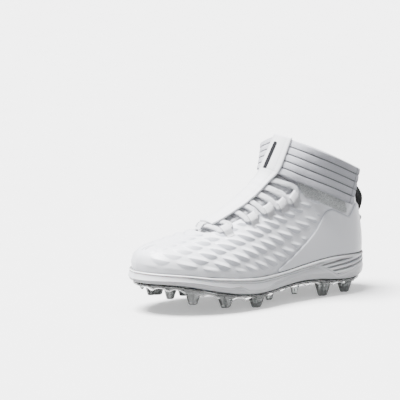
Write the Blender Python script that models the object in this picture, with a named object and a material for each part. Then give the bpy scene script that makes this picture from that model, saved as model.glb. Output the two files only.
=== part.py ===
"""High-top american football cleat, left shoe, standing on its studs.

Toe towards -X, heel towards +X, +Z up, outer (lateral) side towards -Y.
The origin is on the floor under the middle of the shoe. Lengths are in metres.
"""

import functools
import math

import bmesh
import bpy
import numpy as np
from mathutils import Vector
from mathutils.bvhtree import BVHTree

# Driving sizes of the shoe
SOLE_LENGTH = 0.296
BALL_WIDTH = 0.104
COLLAR_HEIGHT = 0.176
EDGE_HEIGHT = 0.046

# Walls and clearances
UPPER_WALL = 0.0022
CUFF_WALL = 0.0050
TONGUE_WALL = 0.0045
GAP = 0.0003
SEAT = 0.0007
INSOLE_THICKNESS = 0.0040
SOLE_LIP = 0.0030
PLATE_THICKNESS = 0.0035

# Throat, tongue and lacing
THROAT_START = 5.6
THROAT_ROUND = 0.8
TONGUE_OVERLAP = 0.0050
CUFF_FROM = 0.84
CUFF_SEAM = 0.004
TONGUE_CLEARANCE = 0.07
STRIP_WIDTH = 0.0240
STRIP_THICKNESS = 0.0016
STRIP_START = 6.45
STRIP_TURN = 11.35
LACE_WIDTH = 0.0058
LACE_THICKNESS = 0.0026
LOOP_REACH = 0.0075
LOOP_WIDTH = 0.0066
LOOP_THICKNESS = 0.0014

# Ankle strap, its fastening patch, and the pull loop
STRAP_WIDTH = 0.0420
STRAP_THICKNESS = 0.0030
STRAP_TILT = math.radians(25.0)
STRAP_RIBS = 5
STRAP_GROOVE = 0.0010
STRAP_CENTRE = (0.272, 0.808)
STRAP_CORNER = 0.0110
STRAP_CORNER_FLARE = 0.0020
STRAP_CORNER_AT = 140.0
STRAP_CORNER_SPREAD = 25.0
STRAP_NARROWING = 0.26
TAB_INNER_SHARE = 0.35
PULL_LOW = 0.44
PULL_HIGH = 0.89
PULL_END_LOW = 0.30
STRAP_FLAP = 0.0225
PATCH_FROM = 12.3
PATCH_TO = 15.1
PATCH_UNDER_STRAP = 0.0120
PATCH_THICKNESS = 0.0010
PATCH_DROP = 0.0120
COUNTER_THICKNESS = 0.0010
PANEL_FROM = 9.2
PANEL_HIGH = 14.2
PANEL_RISE = 0.40
PANEL_UNDER_STRAP = 0.0060
PULL_THICKNESS = 0.0018
PULL_STANDOFF = 0.0095
PULL_END_THICKNESS = 0.0040

# Studs
STUD_TOP_LENGTH = 0.0210
STUD_TOP_WIDTH = 0.0150
STUD_TIP_SHARE = 0.52
STUD_FLUTE = 0.16

# One row for each section, from the toe tip to the back of the heel.
# foot, top: shares of SOLE_LENGTH from the toe, for the rib's lower and upper end.
# lat, med, top_lat, top_med: shares of BALL_WIDTH, outwards from the centre plane.
# edge, base: the rib's foot and the midsole's underside, shares of EDGE_HEIGHT.
# rise: height of the rib's upper end, share of COLLAR_HEIGHT.
# low, down: the rib's end handles as shares of its height.
# out, round: the outward part of those handles, shares of BALL_WIDTH.
COLUMNS = (
    "foot", "lat", "med", "edge", "base", "top", "top_lat", "top_med", "rise",
    "low", "out", "round", "down",
)
SECTIONS = (
    (0.000, -0.080, 0.080, 1.06, 0.78, 0.095, -0.06, 0.06, 0.428, 0.62, 0.030, 0.215, 0.00),
    (0.014, 0.070, 0.215, 1.06, 0.78, 0.100, -0.06, 0.06, 0.430, 0.62, 0.030, 0.220, 0.00),
    (0.045, 0.205, 0.330, 1.05, 0.78, 0.115, -0.06, 0.06, 0.436, 0.62, 0.030, 0.235, 0.00),
    (0.090, 0.310, 0.410, 1.03, 0.76, 0.145, -0.05, 0.05, 0.446, 0.62, 0.030, 0.250, 0.00),
    (0.145, 0.395, 0.462, 0.99, 0.70, 0.185, -0.04, 0.04, 0.461, 0.60, 0.028, 0.260, 0.00),
    (0.205, 0.455, 0.490, 0.93, 0.61, 0.232, -0.03, 0.03, 0.478, 0.60, 0.026, 0.260, 0.00),
    (0.270, 0.488, 0.492, 0.88, 0.52, 0.285, -0.02, 0.02, 0.500, 0.56, 0.022, 0.240, 0.00),
    (0.340, 0.498, 0.462, 0.83, 0.44, 0.345, -0.01, 0.01, 0.542, 0.52, 0.018, 0.235, 0.00),
    (0.420, 0.478, 0.395, 0.79, 0.39, 0.410, 0.00, 0.00, 0.598, 0.48, 0.012, 0.240, 0.00),
    (0.500, 0.432, 0.335, 0.79, 0.40, 0.470, 0.00, 0.00, 0.656, 0.46, 0.008, 0.245, 0.01),
    (0.580, 0.392, 0.305, 0.82, 0.46, 0.522, 0.00, 0.00, 0.716, 0.44, 0.008, 0.255, 0.02),
    (0.660, 0.372, 0.302, 0.89, 0.50, 0.566, 0.00, 0.00, 0.780, 0.42, 0.010, 0.265, 0.03),
    (0.740, 0.362, 0.320, 0.96, 0.48, 0.606, 0.00, 0.00, 0.862, 0.40, 0.012, 0.280, 0.04),
    (0.810, 0.358, 0.332, 1.00, 0.43, 0.640, 0.00, 0.00, 0.966, 0.38, 0.014, 0.290, 0.05),
    (0.870, 0.348, 0.330, 1.00, 0.40, 0.700, 0.29, 0.28, 0.975, 0.34, 0.018, 0.100, 0.24),
    (0.920, 0.318, 0.305, 0.99, 0.40, 0.800, 0.37, 0.36, 0.915, 0.32, 0.022, 0.000, 0.34),
    (0.960, 0.252, 0.245, 0.98, 0.42, 0.890, 0.32, 0.31, 0.842, 0.32, 0.024, 0.000, 0.36),
    (0.986, 0.160, 0.156, 0.98, 0.46, 0.945, 0.19, 0.19, 0.792, 0.32, 0.026, 0.000, 0.38),
    (1.000, 0.000, 0.000, 0.98, 0.50, 0.965, 0.00, 0.00, 0.775, 0.32, 0.028, 0.000, 0.38),
)
TABLE = np.array(SECTIONS)
LAST_ROW = len(SECTIONS) - 1
RUN_STEPS = 32
LATERAL, MEDIAL = -1, 1

# Midsole side wall, from its top edge down. drop: share of the wall's height. outset:
# share of SOLE_LIP beyond the upper's foot. fin: 1 in a groove between the heel's fins.
SIDE_WALL = (
    (0.00, 0.75, 0), (0.08, 1.10, 0), (0.16, 0.75, 0), (0.24, 1.05, 0),
    (0.30, 1.00, 1), (0.36, 0.95, 0), (0.42, 0.90, 1), (0.48, 0.90, 0),
    (0.54, 0.90, 1), (0.60, 1.20, 0), (0.80, 0.95, 0), (1.00, -0.60, 0),
)
HEEL_FINS_FROM = 13.2
HEEL_FIN_DEPTH = 0.0018

# Half the throat's width. Columns: row number, share of BALL_WIDTH over the surface.
THROAT = np.array((
    (6.5, 0.160), (8.5, 0.210), (9.8, 0.245), (11.0, 0.325), (12.0, 0.400), (13.0, 0.370), (14.0, 0.290),
))

# Lace turns. Columns: row number at the loops, row number where it crosses the centre line.
LACE_ROWS = ((6.90, 6.45), (8.50, 8.15), (9.70, 9.20), (10.70, 9.85), (11.60, 10.45))
LACE_SPREAD = 0.0076

# Studs: place as shares of SOLE_LENGTH from the toe and of BALL_WIDTH from the centre
# plane, the tip's height off the floor as a share of EDGE_HEIGHT, and size.
STUDS = (
    (0.105, -0.13, 0.36, 0.80),
    (0.098, 0.20, 0.34, 0.80),
    (0.160, -0.33, 0.25, 0.95),
    (0.175, 0.40, 0.22, 0.95),
    (0.290, -0.41, 0.11, 1.00),
    (0.300, 0.41, 0.10, 1.00),
    (0.230, 0.02, 0.26, 0.70),
    (0.365, 0.02, 0.12, 0.70),
    (0.440, -0.38, 0.00, 1.00),
    (0.440, 0.31, 0.00, 1.00),
    (0.545, -0.20, 0.04, 0.70),
    (0.690, -0.10, 0.04, 0.60),
    (0.780, -0.27, 0.00, 1.00),
    (0.780, 0.25, 0.00, 1.00),
    (0.895, -0.23, 0.00, 0.95),
    (0.895, 0.22, 0.00, 0.95),
)

# Colours: red, green, blue, roughness, metallic
WHITE_SKIN = (0.82, 0.83, 0.85, 0.38, 0.0)
WHITE_CLOTH = (0.80, 0.81, 0.83, 0.80, 0.0)
GREY_FLEECE = (0.66, 0.68, 0.68, 0.95, 0.0)
WHITE_FOAM = (0.80, 0.80, 0.82, 0.45, 0.0)
SMOKY_CLEAR = (0.42, 0.45, 0.45, 0.12, 0.0)
BLACK_WEBBING = (0.01, 0.01, 0.012, 0.75, 0.0)


def start_clean():
    for old in list(bpy.data.objects):
        bpy.data.objects.remove(old)


def section(u):
    """Values of the section table at a row number that need not be whole (Catmull-Rom)."""
    u = min(max(u, 0.0), float(LAST_ROW))
    i = min(int(u), LAST_ROW - 1)
    f = u - i
    before, a, b, after = (TABLE[min(max(k, 0), LAST_ROW)] for k in (i - 1, i, i + 1, i + 2))
    start, end = (b - before) / 2, (after - a) / 2
    mixed = (
        a * (2 * f**3 - 3 * f**2 + 1)
        + start * (f**3 - 2 * f**2 + f)
        + b * (3 * f**2 - 2 * f**3)
        + end * (f**3 - f**2)
    )
    return dict(zip(COLUMNS, mixed))


def length_place(share):
    return (share - 0.5) * SOLE_LENGTH


def edge_point(u, side):
    """The rib's foot, on the line where the upper meets the sole."""
    s = section(u)
    half = s["lat"] if side == LATERAL else s["med"]
    return Vector((length_place(s["foot"]), side * half * BALL_WIDTH, s["edge"] * EDGE_HEIGHT))


def edge_normal(u, side):
    """Horizontal direction straight out of the shoe's edge."""
    if u < 0.02:
        return Vector((-1, 0, 0))
    if u > LAST_ROW - 0.02:
        return Vector((1, 0, 0))
    along = edge_point(u + 0.05, side) - edge_point(u - 0.05, side)
    return Vector((-side * along.y, side * along.x, 0)).normalized()


@functools.lru_cache(maxsize=None)
def rib(u, side):
    """The four handles of the cubic rib that runs from the sole edge to the top line."""
    s = section(u)
    foot = edge_point(u, side)
    half = s["top_lat"] if side == LATERAL else s["top_med"]
    top = Vector((length_place(s["top"]), side * half * BALL_WIDTH, s["rise"] * COLLAR_HEIGHT))
    height = top.z - foot.z
    normal = edge_normal(u, side)
    low = foot + normal * s["out"] * BALL_WIDTH + Vector((0, 0, s["low"] * height))
    high = top + normal * s["round"] * BALL_WIDTH - Vector((0, 0, s["down"] * height))
    return foot, low, high, top


def last_point(u, v, side):
    """A point of the last: u is the row, v runs from the sole edge (0) to the top line (1)."""
    a, b, c, d = rib(u, side)
    w = 1 - v
    return a * w**3 + b * 3 * w * w * v + c * 3 * w * v * v + d * v**3


def last_normal(u, v, side):
    """Outward normal of the last."""
    step = 0.02
    u0, u1 = max(u - step, 0.0), min(u + step, float(LAST_ROW))
    v0, v1 = max(v - step, 0.0), min(v + step, 1.0)
    if u < step or u > LAST_ROW - step:
        mirror = last_point(u1 if u < step else u0, v, -side)
        here = last_point(u1 if u < step else u0, v, side)
        along = (here - mirror) if u < step else (mirror - here)
    else:
        along = last_point(u1, v, side) - last_point(u0, v, side)
    up = last_point(u, v1, side) - last_point(u, v0, side)
    return (along.cross(up) * -side).normalized()


def skin_point(u, v, side, lift):
    return last_point(u, v, side) + last_normal(u, v, side) * lift


def throat_half_width(u):
    """Half the throat's width over the surface: a round start, then widening edges."""
    run = (u - THROAT_START) / THROAT_ROUND
    if run <= 0:
        return 0.0
    half = float(np.interp(u, THROAT[:, 0], THROAT[:, 1])) * BALL_WIDTH
    return half * math.sqrt(1 - (1 - min(run, 1.0)) ** 2)


@functools.lru_cache(maxsize=None)
def rib_runs(u, side):
    """Distances over the surface from the centre line, at even steps of v from the top."""
    s = section(u)
    middle = s["top_med"] if u < 9 else 0.0
    here = last_point(u, 1.0, side)
    run = abs(here.y - middle * BALL_WIDTH) if u > 12.5 else 0.0
    runs = [run]
    for k in range(1, RUN_STEPS + 1):
        there = last_point(u, 1 - k / RUN_STEPS, side)
        run += (there - here).length
        runs.append(run)
        here = there
    return runs


def v_at_distance(u, side, distance):
    """The v at which the rib is a given distance, over the surface, from the centre line."""
    runs = rib_runs(u, side)
    if distance <= runs[0]:
        return 1.0
    for k in range(RUN_STEPS):
        if runs[k + 1] >= distance:
            return 1 - (k + (distance - runs[k]) / (runs[k + 1] - runs[k])) / RUN_STEPS
    return 0.0


def row_on_throat(v, side):
    """The row at which the throat's edge passes a given v near the ankle."""
    low, high = 12.5, 14.5
    for _ in range(20):
        u = (low + high) / 2
        if v_at_distance(u, side, throat_half_width(u)) < v:
            low = u
        else:
            high = u
    return low


def upper_top(u, side):
    """Where the upper's wall ends on each rib: the centre line, the throat or the cuff."""
    if u <= THROAT_START:
        return 1.0
    edge = v_at_distance(u, side, throat_half_width(u))
    return min(edge, CUFF_FROM) if u > 12.0 else edge


def material(name, look):
    made = bpy.data.materials.new(name)
    made.use_nodes = True
    shader = made.node_tree.nodes["Principled BSDF"]
    shader.inputs["Base Color"].default_value = (*look[:3], 1)
    shader.inputs["Roughness"].default_value = look[3]
    shader.inputs["Metallic"].default_value = look[4]
    made.diffuse_color = (*look[:3], 1)
    return made


def add_object(name, mesh, look, home):
    obj = bpy.data.objects.new(name, mesh)
    mesh.materials.append(look)
    mesh.shade_smooth()
    mesh.set_sharp_from_angle(angle=math.radians(35))
    home.objects.link(obj)
    return obj


def mesh_of_grid(name, grid, closed_round=False):
    """An open mesh from rows of points. closed_round joins the last column to the first."""
    mesh = bpy.data.meshes.new(name)
    rows, columns = len(grid), len(grid[0])
    points = [p for row in grid for p in row]
    faces = []
    for i in range(rows - 1):
        for j in range(columns if closed_round else columns - 1):
            k = (j + 1) % columns
            faces.append((i * columns + j, i * columns + k, (i + 1) * columns + k, (i + 1) * columns + j))
    mesh.from_pydata(points, [], faces)
    weld(mesh)
    return mesh


def weld(mesh, within=0.00005):
    work = bmesh.new()
    work.from_mesh(mesh)
    bmesh.ops.remove_doubles(work, verts=work.verts, dist=within)
    bmesh.ops.recalc_face_normals(work, faces=work.faces)
    work.to_mesh(mesh)
    work.free()


def solid_of_layers(name, outer, inner, closed_round=False, joined=()):
    """A closed solid between two like grids, with rims along its free edges.

    joined holds the spans of the last row that meet another side and need no rim.
    """
    rows, columns = len(outer), len(outer[0])
    count = rows * columns
    points = [p for row in outer for p in row] + [p for row in inner for p in row]
    faces = []
    spans = columns if closed_round else columns - 1

    def at(i, j, layer):
        return layer * count + i * columns + j % columns

    for i in range(rows - 1):
        for j in range(spans):
            faces.append((at(i, j, 0), at(i, j + 1, 0), at(i + 1, j + 1, 0), at(i + 1, j, 0)))
            faces.append((at(i, j, 1), at(i + 1, j, 1), at(i + 1, j + 1, 1), at(i, j + 1, 1)))
    for j in range(spans):
        faces.append((at(0, j, 0), at(0, j, 1), at(0, j + 1, 1), at(0, j + 1, 0)))
        if j not in joined:
            faces.append((at(rows - 1, j, 0), at(rows - 1, j + 1, 0), at(rows - 1, j + 1, 1), at(rows - 1, j, 1)))
    if not closed_round:
        last = columns - 1
        for i in range(rows - 1):
            faces.append((at(i, 0, 0), at(i + 1, 0, 0), at(i + 1, 0, 1), at(i, 0, 1)))
            faces.append((at(i, last, 0), at(i, last, 1), at(i + 1, last, 1), at(i + 1, last, 0)))
    mesh = bpy.data.meshes.new(name)
    mesh.from_pydata(points, [], faces)
    weld(mesh)
    return mesh


def around(step_heel, step_toe):
    """Rows visited round the shoe: outer side from heel to toe, then inner side back."""
    rows = []
    u = float(LAST_ROW)
    while u > 0.01:
        rows.append(u)
        u -= step_toe if u <= 6.0 else step_heel
    outer = [(u, LATERAL) for u in rows]
    inner = [(u, MEDIAL) for u in reversed(rows[1:])]
    return outer + [(0.0, LATERAL)] + inner


def build_upper(look, home):
    """Hollow moulded upper: open underneath, at the throat and at the ankle."""
    stations = around(0.44, 0.6)
    steps = 6
    grids = []
    for lift in (0.0, -UPPER_WALL):
        grid = []
        for k in range(steps + 1):
            row = []
            for u, side in stations:
                v = upper_top(u, side) * (k / steps)
                p = skin_point(u, v, side, lift)
                if k == steps and u <= THROAT_START:
                    p = ridge_point(u, lift)
                row.append(p)
            grid.append(row)
        grids.append(grid)
    over_vamp = [u <= THROAT_START for u, _ in stations]
    joined = [j for j in range(len(stations) - 1) if over_vamp[j] and over_vamp[j + 1]]
    mesh = solid_of_layers("upper", grids[0], grids[1], closed_round=True, joined=joined)
    return add_object("upper", mesh, look, home)


def ridge_point(u, lift):
    """A point over the centre line of the vamp or tongue, lifted off the last."""
    s = section(u)
    here = Vector((length_place(s["top"]), s["top_med"] * BALL_WIDTH, s["rise"] * COLLAR_HEIGHT))
    before, after = section(u - 0.1), section(u + 0.1)
    along = Vector((
        (after["top"] - before["top"]) * SOLE_LENGTH, 0,
        (after["rise"] - before["rise"]) * COLLAR_HEIGHT,
    )).normalized()
    return here + Vector((-along.z, 0, along.x)) * lift


def station_grid(stations, lifts_of, v_of, steps):
    """Rows of points from v_of's lower to its upper limit, at the given lift."""
    grid = []
    for k in range(steps + 1):
        row = []
        for u, side in stations:
            low, high = v_of(u, side)
            row.append(skin_point(u, low + (high - low) * k / steps, side, lifts_of(u, k / steps)))
        grid.append(row)
    return grid


def shell_between(name, stations, v_of, steps, inner_lift, outer_lift):
    outer = station_grid(stations, lambda u, f: outer_lift, v_of, steps)
    inner = station_grid(stations, lambda u, f: inner_lift, v_of, steps)
    return solid_of_layers(name, outer, inner)


def build_cuff(look, home):
    """Padded ankle cuff standing on the upper's top edge, open at the front."""
    steps = 3
    shares = (0.0, 0.05, 0.1, 0.16, 0.24, 0.33, 0.42, 0.5, 0.58, 0.66, 0.74, 0.82, 0.9, 0.96, 1.0)
    columns = [(share, LATERAL) for share in shares]
    columns += [(share, MEDIAL) for share in reversed(shares[:-1])]
    grids = []
    for lift in (0.0, -CUFF_WALL):
        grid = []
        for k in range(steps + 1):
            v = CUFF_FROM + CUFF_SEAM + (1 - CUFF_FROM - CUFF_SEAM) * k / steps
            row = []
            for share, side in columns:
                front = row_on_throat(min(v, 0.999), side) + TONGUE_CLEARANCE
                row.append(skin_point(front + (LAST_ROW - front) * share, v, side, lift))
            grid.append(row)
        grids.append(grid)
    mesh = solid_of_layers("ankle_cuff", grids[0], grids[1])
    return add_object("ankle_cuff", mesh, look, home)


def tongue_lift():
    return -(UPPER_WALL + SEAT * 2)


def build_tongue(look, home):
    """Padded tongue: under the throat's edges, then between the cuff's front edges."""
    steps = 15
    across = (-1.0, -0.75, -0.45, -0.15, 0.15, 0.45, 0.75, 1.0)
    start = THROAT_START - 0.25
    grids = []
    for lift in (tongue_lift(), tongue_lift() - TONGUE_WALL):
        grid = []
        for k in range(steps + 1):
            row = []
            for share in across:
                side = LATERAL if share < 0 else MEDIAL
                end = 13.05 + (row_on_throat(0.999, side) - 13.05) * abs(share)
                u = start + (end - start) * k / steps
                tuck = TONGUE_OVERLAP * min(max((12.6 - u) / 0.5, 0.0), 1.0)
                half = throat_half_width(max(u, THROAT_START + 0.3)) - GAP * 4 + tuck
                toe_drop = SEAT * min(max((6.6 - u) / 0.8, 0.0), 1.0) * 2
                row.append(skin_point(u, v_at_distance(u, side, half * abs(share)), side, lift - toe_drop))
            grid.append(row)
        grids.append(grid)
    mesh = solid_of_layers("tongue", grids[0], grids[1])
    return add_object("tongue", mesh, look, home)


def lace_lift():
    return GAP + LACE_THICKNESS / 2


def sweep(name, path, normals, width, thickness, closed):
    """A flat cord along a path, lying on the given normals."""
    count = len(path)
    sides = [(0.5, 0.5), (-0.5, 0.5), (-0.5, -0.5), (0.5, -0.5)]
    points = []
    for i, p in enumerate(path):
        after = path[(i + 1) % count] if closed or i + 1 < count else p
        before = path[i - 1] if closed or i else p
        across = (after - before).cross(normals[i]).normalized()
        for a, b in sides:
            points.append(p + across * a * width + normals[i] * b * thickness)
    n = len(sides)
    faces = []
    for i in range(count if closed else count - 1):
        for j in range(n):
            a, b = i * n, ((i + 1) % count) * n
            faces.append((a + j, a + (j + 1) % n, b + (j + 1) % n, b + j))
    if not closed:
        faces.append(tuple(range(n)))
        faces.append(tuple(range((count - 1) * n, count * n)))
    mesh = bpy.data.meshes.new(name)
    mesh.from_pydata(points, [], faces)
    weld(mesh)
    return mesh


def loop_distance(u):
    """Distance of the lace's turn from the centre line, inside the webbing loops."""
    return throat_half_width(u) + LOOP_THICKNESS + GAP * 6 + LACE_WIDTH / 2


def row_spacing(u, side):
    """Length along the lace's turn from one row to the next."""
    ends = [last_point(at, v_at_distance(at, side, loop_distance(at)), side) for at in (u - 0.2, u + 0.2)]
    return (ends[1] - ends[0]).length / 0.4


def lace_turn(u_loop, u_middle):
    """One closed lace turn: across the throat, through both loops and back."""
    path, normals = [], []

    def add(u, side, share):
        if share == 0:
            p = ridge_point(u, lace_lift())
            n = (ridge_point(u, 1.0) - ridge_point(u, 0.0)).normalized()
        else:
            v = v_at_distance(u, side, loop_distance(u_loop) * share)
            p = skin_point(u, v, side, lace_lift())
            n = last_normal(u, v, side)
        path.append(p)
        normals.append(n)

    wide = LACE_SPREAD / row_spacing(u_loop, LATERAL)
    narrow = LACE_SPREAD * 0.75 / (ridge_point(u_middle + 0.5, 0) - ridge_point(u_middle - 0.5, 0)).length
    for side, sign in ((LATERAL, -1), (MEDIAL, 1)):
        start, end = u_middle + sign * narrow, u_loop + sign * wide
        add(start, side, 0)
        for share in (0.3, 0.6, 0.85):
            add(start + (end - start) * share / 0.85, side, share)
        for share in (0.86, 0.3, -0.3, -0.86):
            add(u_loop + sign * wide * share, side, 1)
        start, end = u_middle - sign * narrow, u_loop - sign * wide
        for share in (0.85, 0.6, 0.3):
            add(start + (end - start) * share / 0.85, side, share)
    return path, normals


def join_all(first, others):
    """Boolean union of other objects into the first; the others are removed."""
    for other in others:
        cut = first.modifiers.new("join", "BOOLEAN")
        cut.operation = "UNION"
        cut.solver = "EXACT"
        cut.object = other
    bpy.context.view_layer.update()
    graph = bpy.context.evaluated_depsgraph_get()
    mesh = bpy.data.meshes.new_from_object(first.evaluated_get(graph))
    mesh.name = first.name
    first.modifiers.clear()
    first.data = mesh
    for other in others:
        bpy.data.objects.remove(other)
    return first


def build_laces(look, home):
    """All the lace turns, joined along a run under the middle strip."""
    turns = []
    for k, (u_loop, u_middle) in enumerate(LACE_ROWS):
        path, normals = lace_turn(u_loop, u_middle)
        mesh = sweep(f"turn_{k}", path, normals, LACE_WIDTH, LACE_THICKNESS, closed=True)
        turns.append(add_object(f"turn_{k}", mesh, look, home))
    first, last = LACE_ROWS[0][1] - 0.15, LACE_ROWS[-1][1] + 0.15
    steps = 16
    rows = [first + (last - first) * k / steps for k in range(steps + 1)]
    path = [ridge_point(u, lace_lift()) for u in rows]
    normals = [(ridge_point(u, 1.0) - ridge_point(u, 0.0)).normalized() for u in rows]
    mesh = sweep("laces", path, normals, LACE_WIDTH, LACE_THICKNESS * 0.8, closed=False)
    return join_all(add_object("laces", mesh, look, home), turns)


def build_loops(look, home):
    """Webbing loops that hold the lace at the throat's edges, five on each side."""
    near = -LACE_WIDTH / 2 - GAP * 3
    far = LACE_WIDTH / 2 + GAP * 2
    roof = lace_lift() + LACE_THICKNESS / 2 + GAP * 2
    thick = LOOP_THICKNESS
    inner = ((near, GAP), (near, roof * 0.8), (near + thick * 0.4, roof), (far, roof), (far + LOOP_REACH, GAP))
    outer = (
        (near - thick, GAP), (near - thick, roof + thick * 0.4), (near, roof + thick),
        (far + thick, roof + thick), (far + LOOP_REACH + thick * 2, GAP),
    )
    for side, word in ((LATERAL, "outer"), (MEDIAL, "inner")):
        for k, (u, _) in enumerate(LACE_ROWS):
            reach = LOOP_WIDTH / row_spacing(u, side)
            grids = []
            for path in (outer, inner):
                grid = []
                for share in (-0.5, -0.17, 0.17, 0.5):
                    at = u + share * reach
                    middle = loop_distance(u)
                    grid.append([skin_point(at, v_at_distance(at, side, middle + d), side, h) for d, h in path])
                grids.append(grid)
            name = f"lace_loop_{word}_{k + 1}"
            add_object(name, solid_of_layers(name, grids[0], grids[1]), look, home)


def ankle_tree():
    """Ray target: the whole last, with its top line carried on past the collar."""
    stations = around(0.5, 1.0)
    grid = [[last_point(u, v / 12, side) for u, side in stations] for v in range(13)]
    up = strap_axes()[1]
    grid.append([
        p + up * (0.035 if u > 12.4 else 0.0) for p, (u, side) in zip(grid[-1], stations)
    ])
    mesh = mesh_of_grid("ankle", grid, closed_round=True)
    points = [v.co.copy() for v in mesh.vertices]
    tree = BVHTree.FromPolygons(points, [tuple(f.vertices) for f in mesh.polygons])
    bpy.data.meshes.remove(mesh)
    return tree


def strap_axes():
    """Back-and-down direction in the strap's plane, and the direction across its width."""
    back = Vector((math.cos(STRAP_TILT), 0, -math.sin(STRAP_TILT)))
    up = Vector((math.sin(STRAP_TILT), 0, math.cos(STRAP_TILT)))
    return back, up


def strap_height(p):
    """How far a point lies above the strap's middle, measured across the strap."""
    centre = Vector((STRAP_CENTRE[0] * SOLE_LENGTH, 0, STRAP_CENTRE[1] * COLLAR_HEIGHT))
    return (p - centre).dot(strap_axes()[1])


def ankle_radius(tree, angle, height):
    """Distance out to the ankle: angle 0 is at the heel, 180 the front, 270 the outer side."""
    back, up = strap_axes()
    centre = Vector((STRAP_CENTRE[0] * SOLE_LENGTH, 0, STRAP_CENTRE[1] * COLLAR_HEIGHT))
    turn = math.radians(angle)
    direction = back * math.cos(turn) + Vector((0, 1, 0)) * math.sin(turn)
    hit, _, _, distance = tree.ray_cast(centre + up * height, direction)
    if hit is None:
        raise ValueError(f"no ankle at angle {angle}, height {height}")
    return distance


@functools.lru_cache(maxsize=None)
def strap_line(tree, angle):
    """Straight line across the strap that just clears the ankle: radius there and slope."""
    heights = np.linspace(-STRAP_WIDTH / 2, STRAP_WIDTH / 2, 7)
    radii = np.array([ankle_radius(tree, angle, h) for h in heights])
    slope, middle = np.polyfit(heights, radii, 1)
    return middle + float(np.max(radii - (middle + slope * heights))), slope


def strap_corner(angle, height):
    """How far the strap stands off where it rounds the front of the inner side."""
    most = STRAP_CORNER + STRAP_CORNER_FLARE * height / (STRAP_WIDTH / 2)
    return most * math.exp(-((angle - STRAP_CORNER_AT) / STRAP_CORNER_SPREAD) ** 2)


def narrowed(angle, height):
    """A height across the strap, drawn in towards its lower edge on the inner side."""
    run = min(max((178.0 - angle) / 38.0, 0.0), 1.0)
    share = run * run * (3 - 2 * run)
    return -STRAP_WIDTH / 2 + (height + STRAP_WIDTH / 2) * (1 - STRAP_NARROWING * share)


def strap_point(tree, angle, height, lift):
    """A point on the strap's smoothed surface."""
    height = narrowed(angle, height)
    lines = [strap_line(tree, angle + k * 4) for k in (-2, -1, 0, 1, 2)]
    middle = sum(line[0] for line in lines) / 5
    slope = sum(line[1] for line in lines) / 5
    back, up = strap_axes()
    centre = Vector((STRAP_CENTRE[0] * SOLE_LENGTH, 0, STRAP_CENTRE[1] * COLLAR_HEIGHT))
    turn = math.radians(angle)
    direction = back * math.cos(turn) + Vector((0, 1, 0)) * math.sin(turn)
    return centre + up * height + direction * (middle + slope * height + strap_corner(angle, height) + lift)


def strap_inner_lift():
    return SEAT * 2 + COUNTER_THICKNESS


def build_strap(tree, look, home):
    """Ribbed ankle strap, from the inner side round the front to a flap past the heel."""
    angles = [40 + 262 * k / 20 for k in range(21)]
    count = STRAP_RIBS * 2
    heights = [-STRAP_WIDTH / 2 + STRAP_WIDTH * k / count for k in range(count + 1)]
    base = strap_inner_lift()
    grids = []
    for layer in (STRAP_THICKNESS, 0.0):
        grid = []
        for k, height in enumerate(heights):
            groove = STRAP_GROOVE if layer and k % 2 == 0 else 0.0
            row = [strap_point(tree, a, height, base + layer - groove) for a in angles]
            way = (row[-1] - row[-2]).normalized()
            row += [row[-1] + way * STRAP_FLAP * share for share in (0.35, 0.7, 1.0)]
            grid.append(row)
        grids.append(grid)
    mesh = solid_of_layers("ankle_strap", grids[0], grids[1])
    return add_object("ankle_strap", mesh, look, home)


def v_at_strap_height(u, side, height):
    """The v at which a rib reaches a height measured across the strap."""
    low, high = 0.0, 1.0
    for _ in range(20):
        v = (low + high) / 2
        if strap_height(last_point(u, v, side)) < height:
            low = v
        else:
            high = v
    return low


def patch_bottom():
    return -STRAP_WIDTH / 2 - PATCH_DROP


def build_patch(look, home):
    """Fleece fastening patch on the outer side, mostly under the strap."""
    rows = [PATCH_FROM + (PATCH_TO - PATCH_FROM) * k / 9 for k in range(10)]
    grids = []
    for lift in (SEAT + PATCH_THICKNESS, SEAT):
        grid = []
        for k in range(5):
            row = []
            for u in rows:
                low = v_at_strap_height(u, LATERAL, patch_bottom())
                high = v_at_strap_height(u, LATERAL, PATCH_UNDER_STRAP - STRAP_WIDTH / 2)
                high = min(high, v_at_distance(u, LATERAL, throat_half_width(u) + SEAT * 2))
                row.append(skin_point(u, low + (high - low) * k / 4, LATERAL, lift))
            grid.append(row)
        grids.append(grid)
    mesh = solid_of_layers("fastening_patch", grids[0], grids[1])
    return add_object("fastening_patch", mesh, look, home)


def build_strip(tree, look, home):
    """Webbing strip over the laces that carries on over the strap as a tab."""
    over_lace = lace_lift() + LACE_THICKNESS / 2 + SEAT
    over_strap = strap_inner_lift() + STRAP_THICKNESS + SEAT
    rows = [STRIP_START + (STRIP_TURN - STRIP_START) * k / 13 for k in range(14)]
    heights = [-STRAP_WIDTH / 2 - SEAT * 3 + (STRAP_WIDTH + SEAT * 6) * k / 5 for k in range(6)]
    shares = (-1.0, -0.55, -0.15, 0.15, 0.55, 1.0)
    radius = (strap_point(tree, 180, 0, over_strap) - strap_point(tree, 0, 0, 0)).length / 3
    grids = []
    for extra in (STRIP_THICKNESS, 0.0):
        grid = []
        for u in rows:
            row = []
            for share in shares:
                side = LATERAL if share < 0 else MEDIAL
                v = v_at_distance(u, side, STRIP_WIDTH / 2 * abs(share))
                row.append(skin_point(u, v, side, over_lace + extra))
            grid.append(row)
        for height in heights:
            row = []
            for share in shares:
                reach = share * TAB_INNER_SHARE if share > 0 else share
                angle = 180 - math.degrees(STRIP_WIDTH / 2 * reach / radius)
                row.append(strap_point(tree, angle, height, over_strap + extra))
            grid.append(row)
        grids.append(grid)
    mesh = solid_of_layers("lace_strip", grids[0], grids[1])
    return add_object("lace_strip", mesh, look, home)


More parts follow.
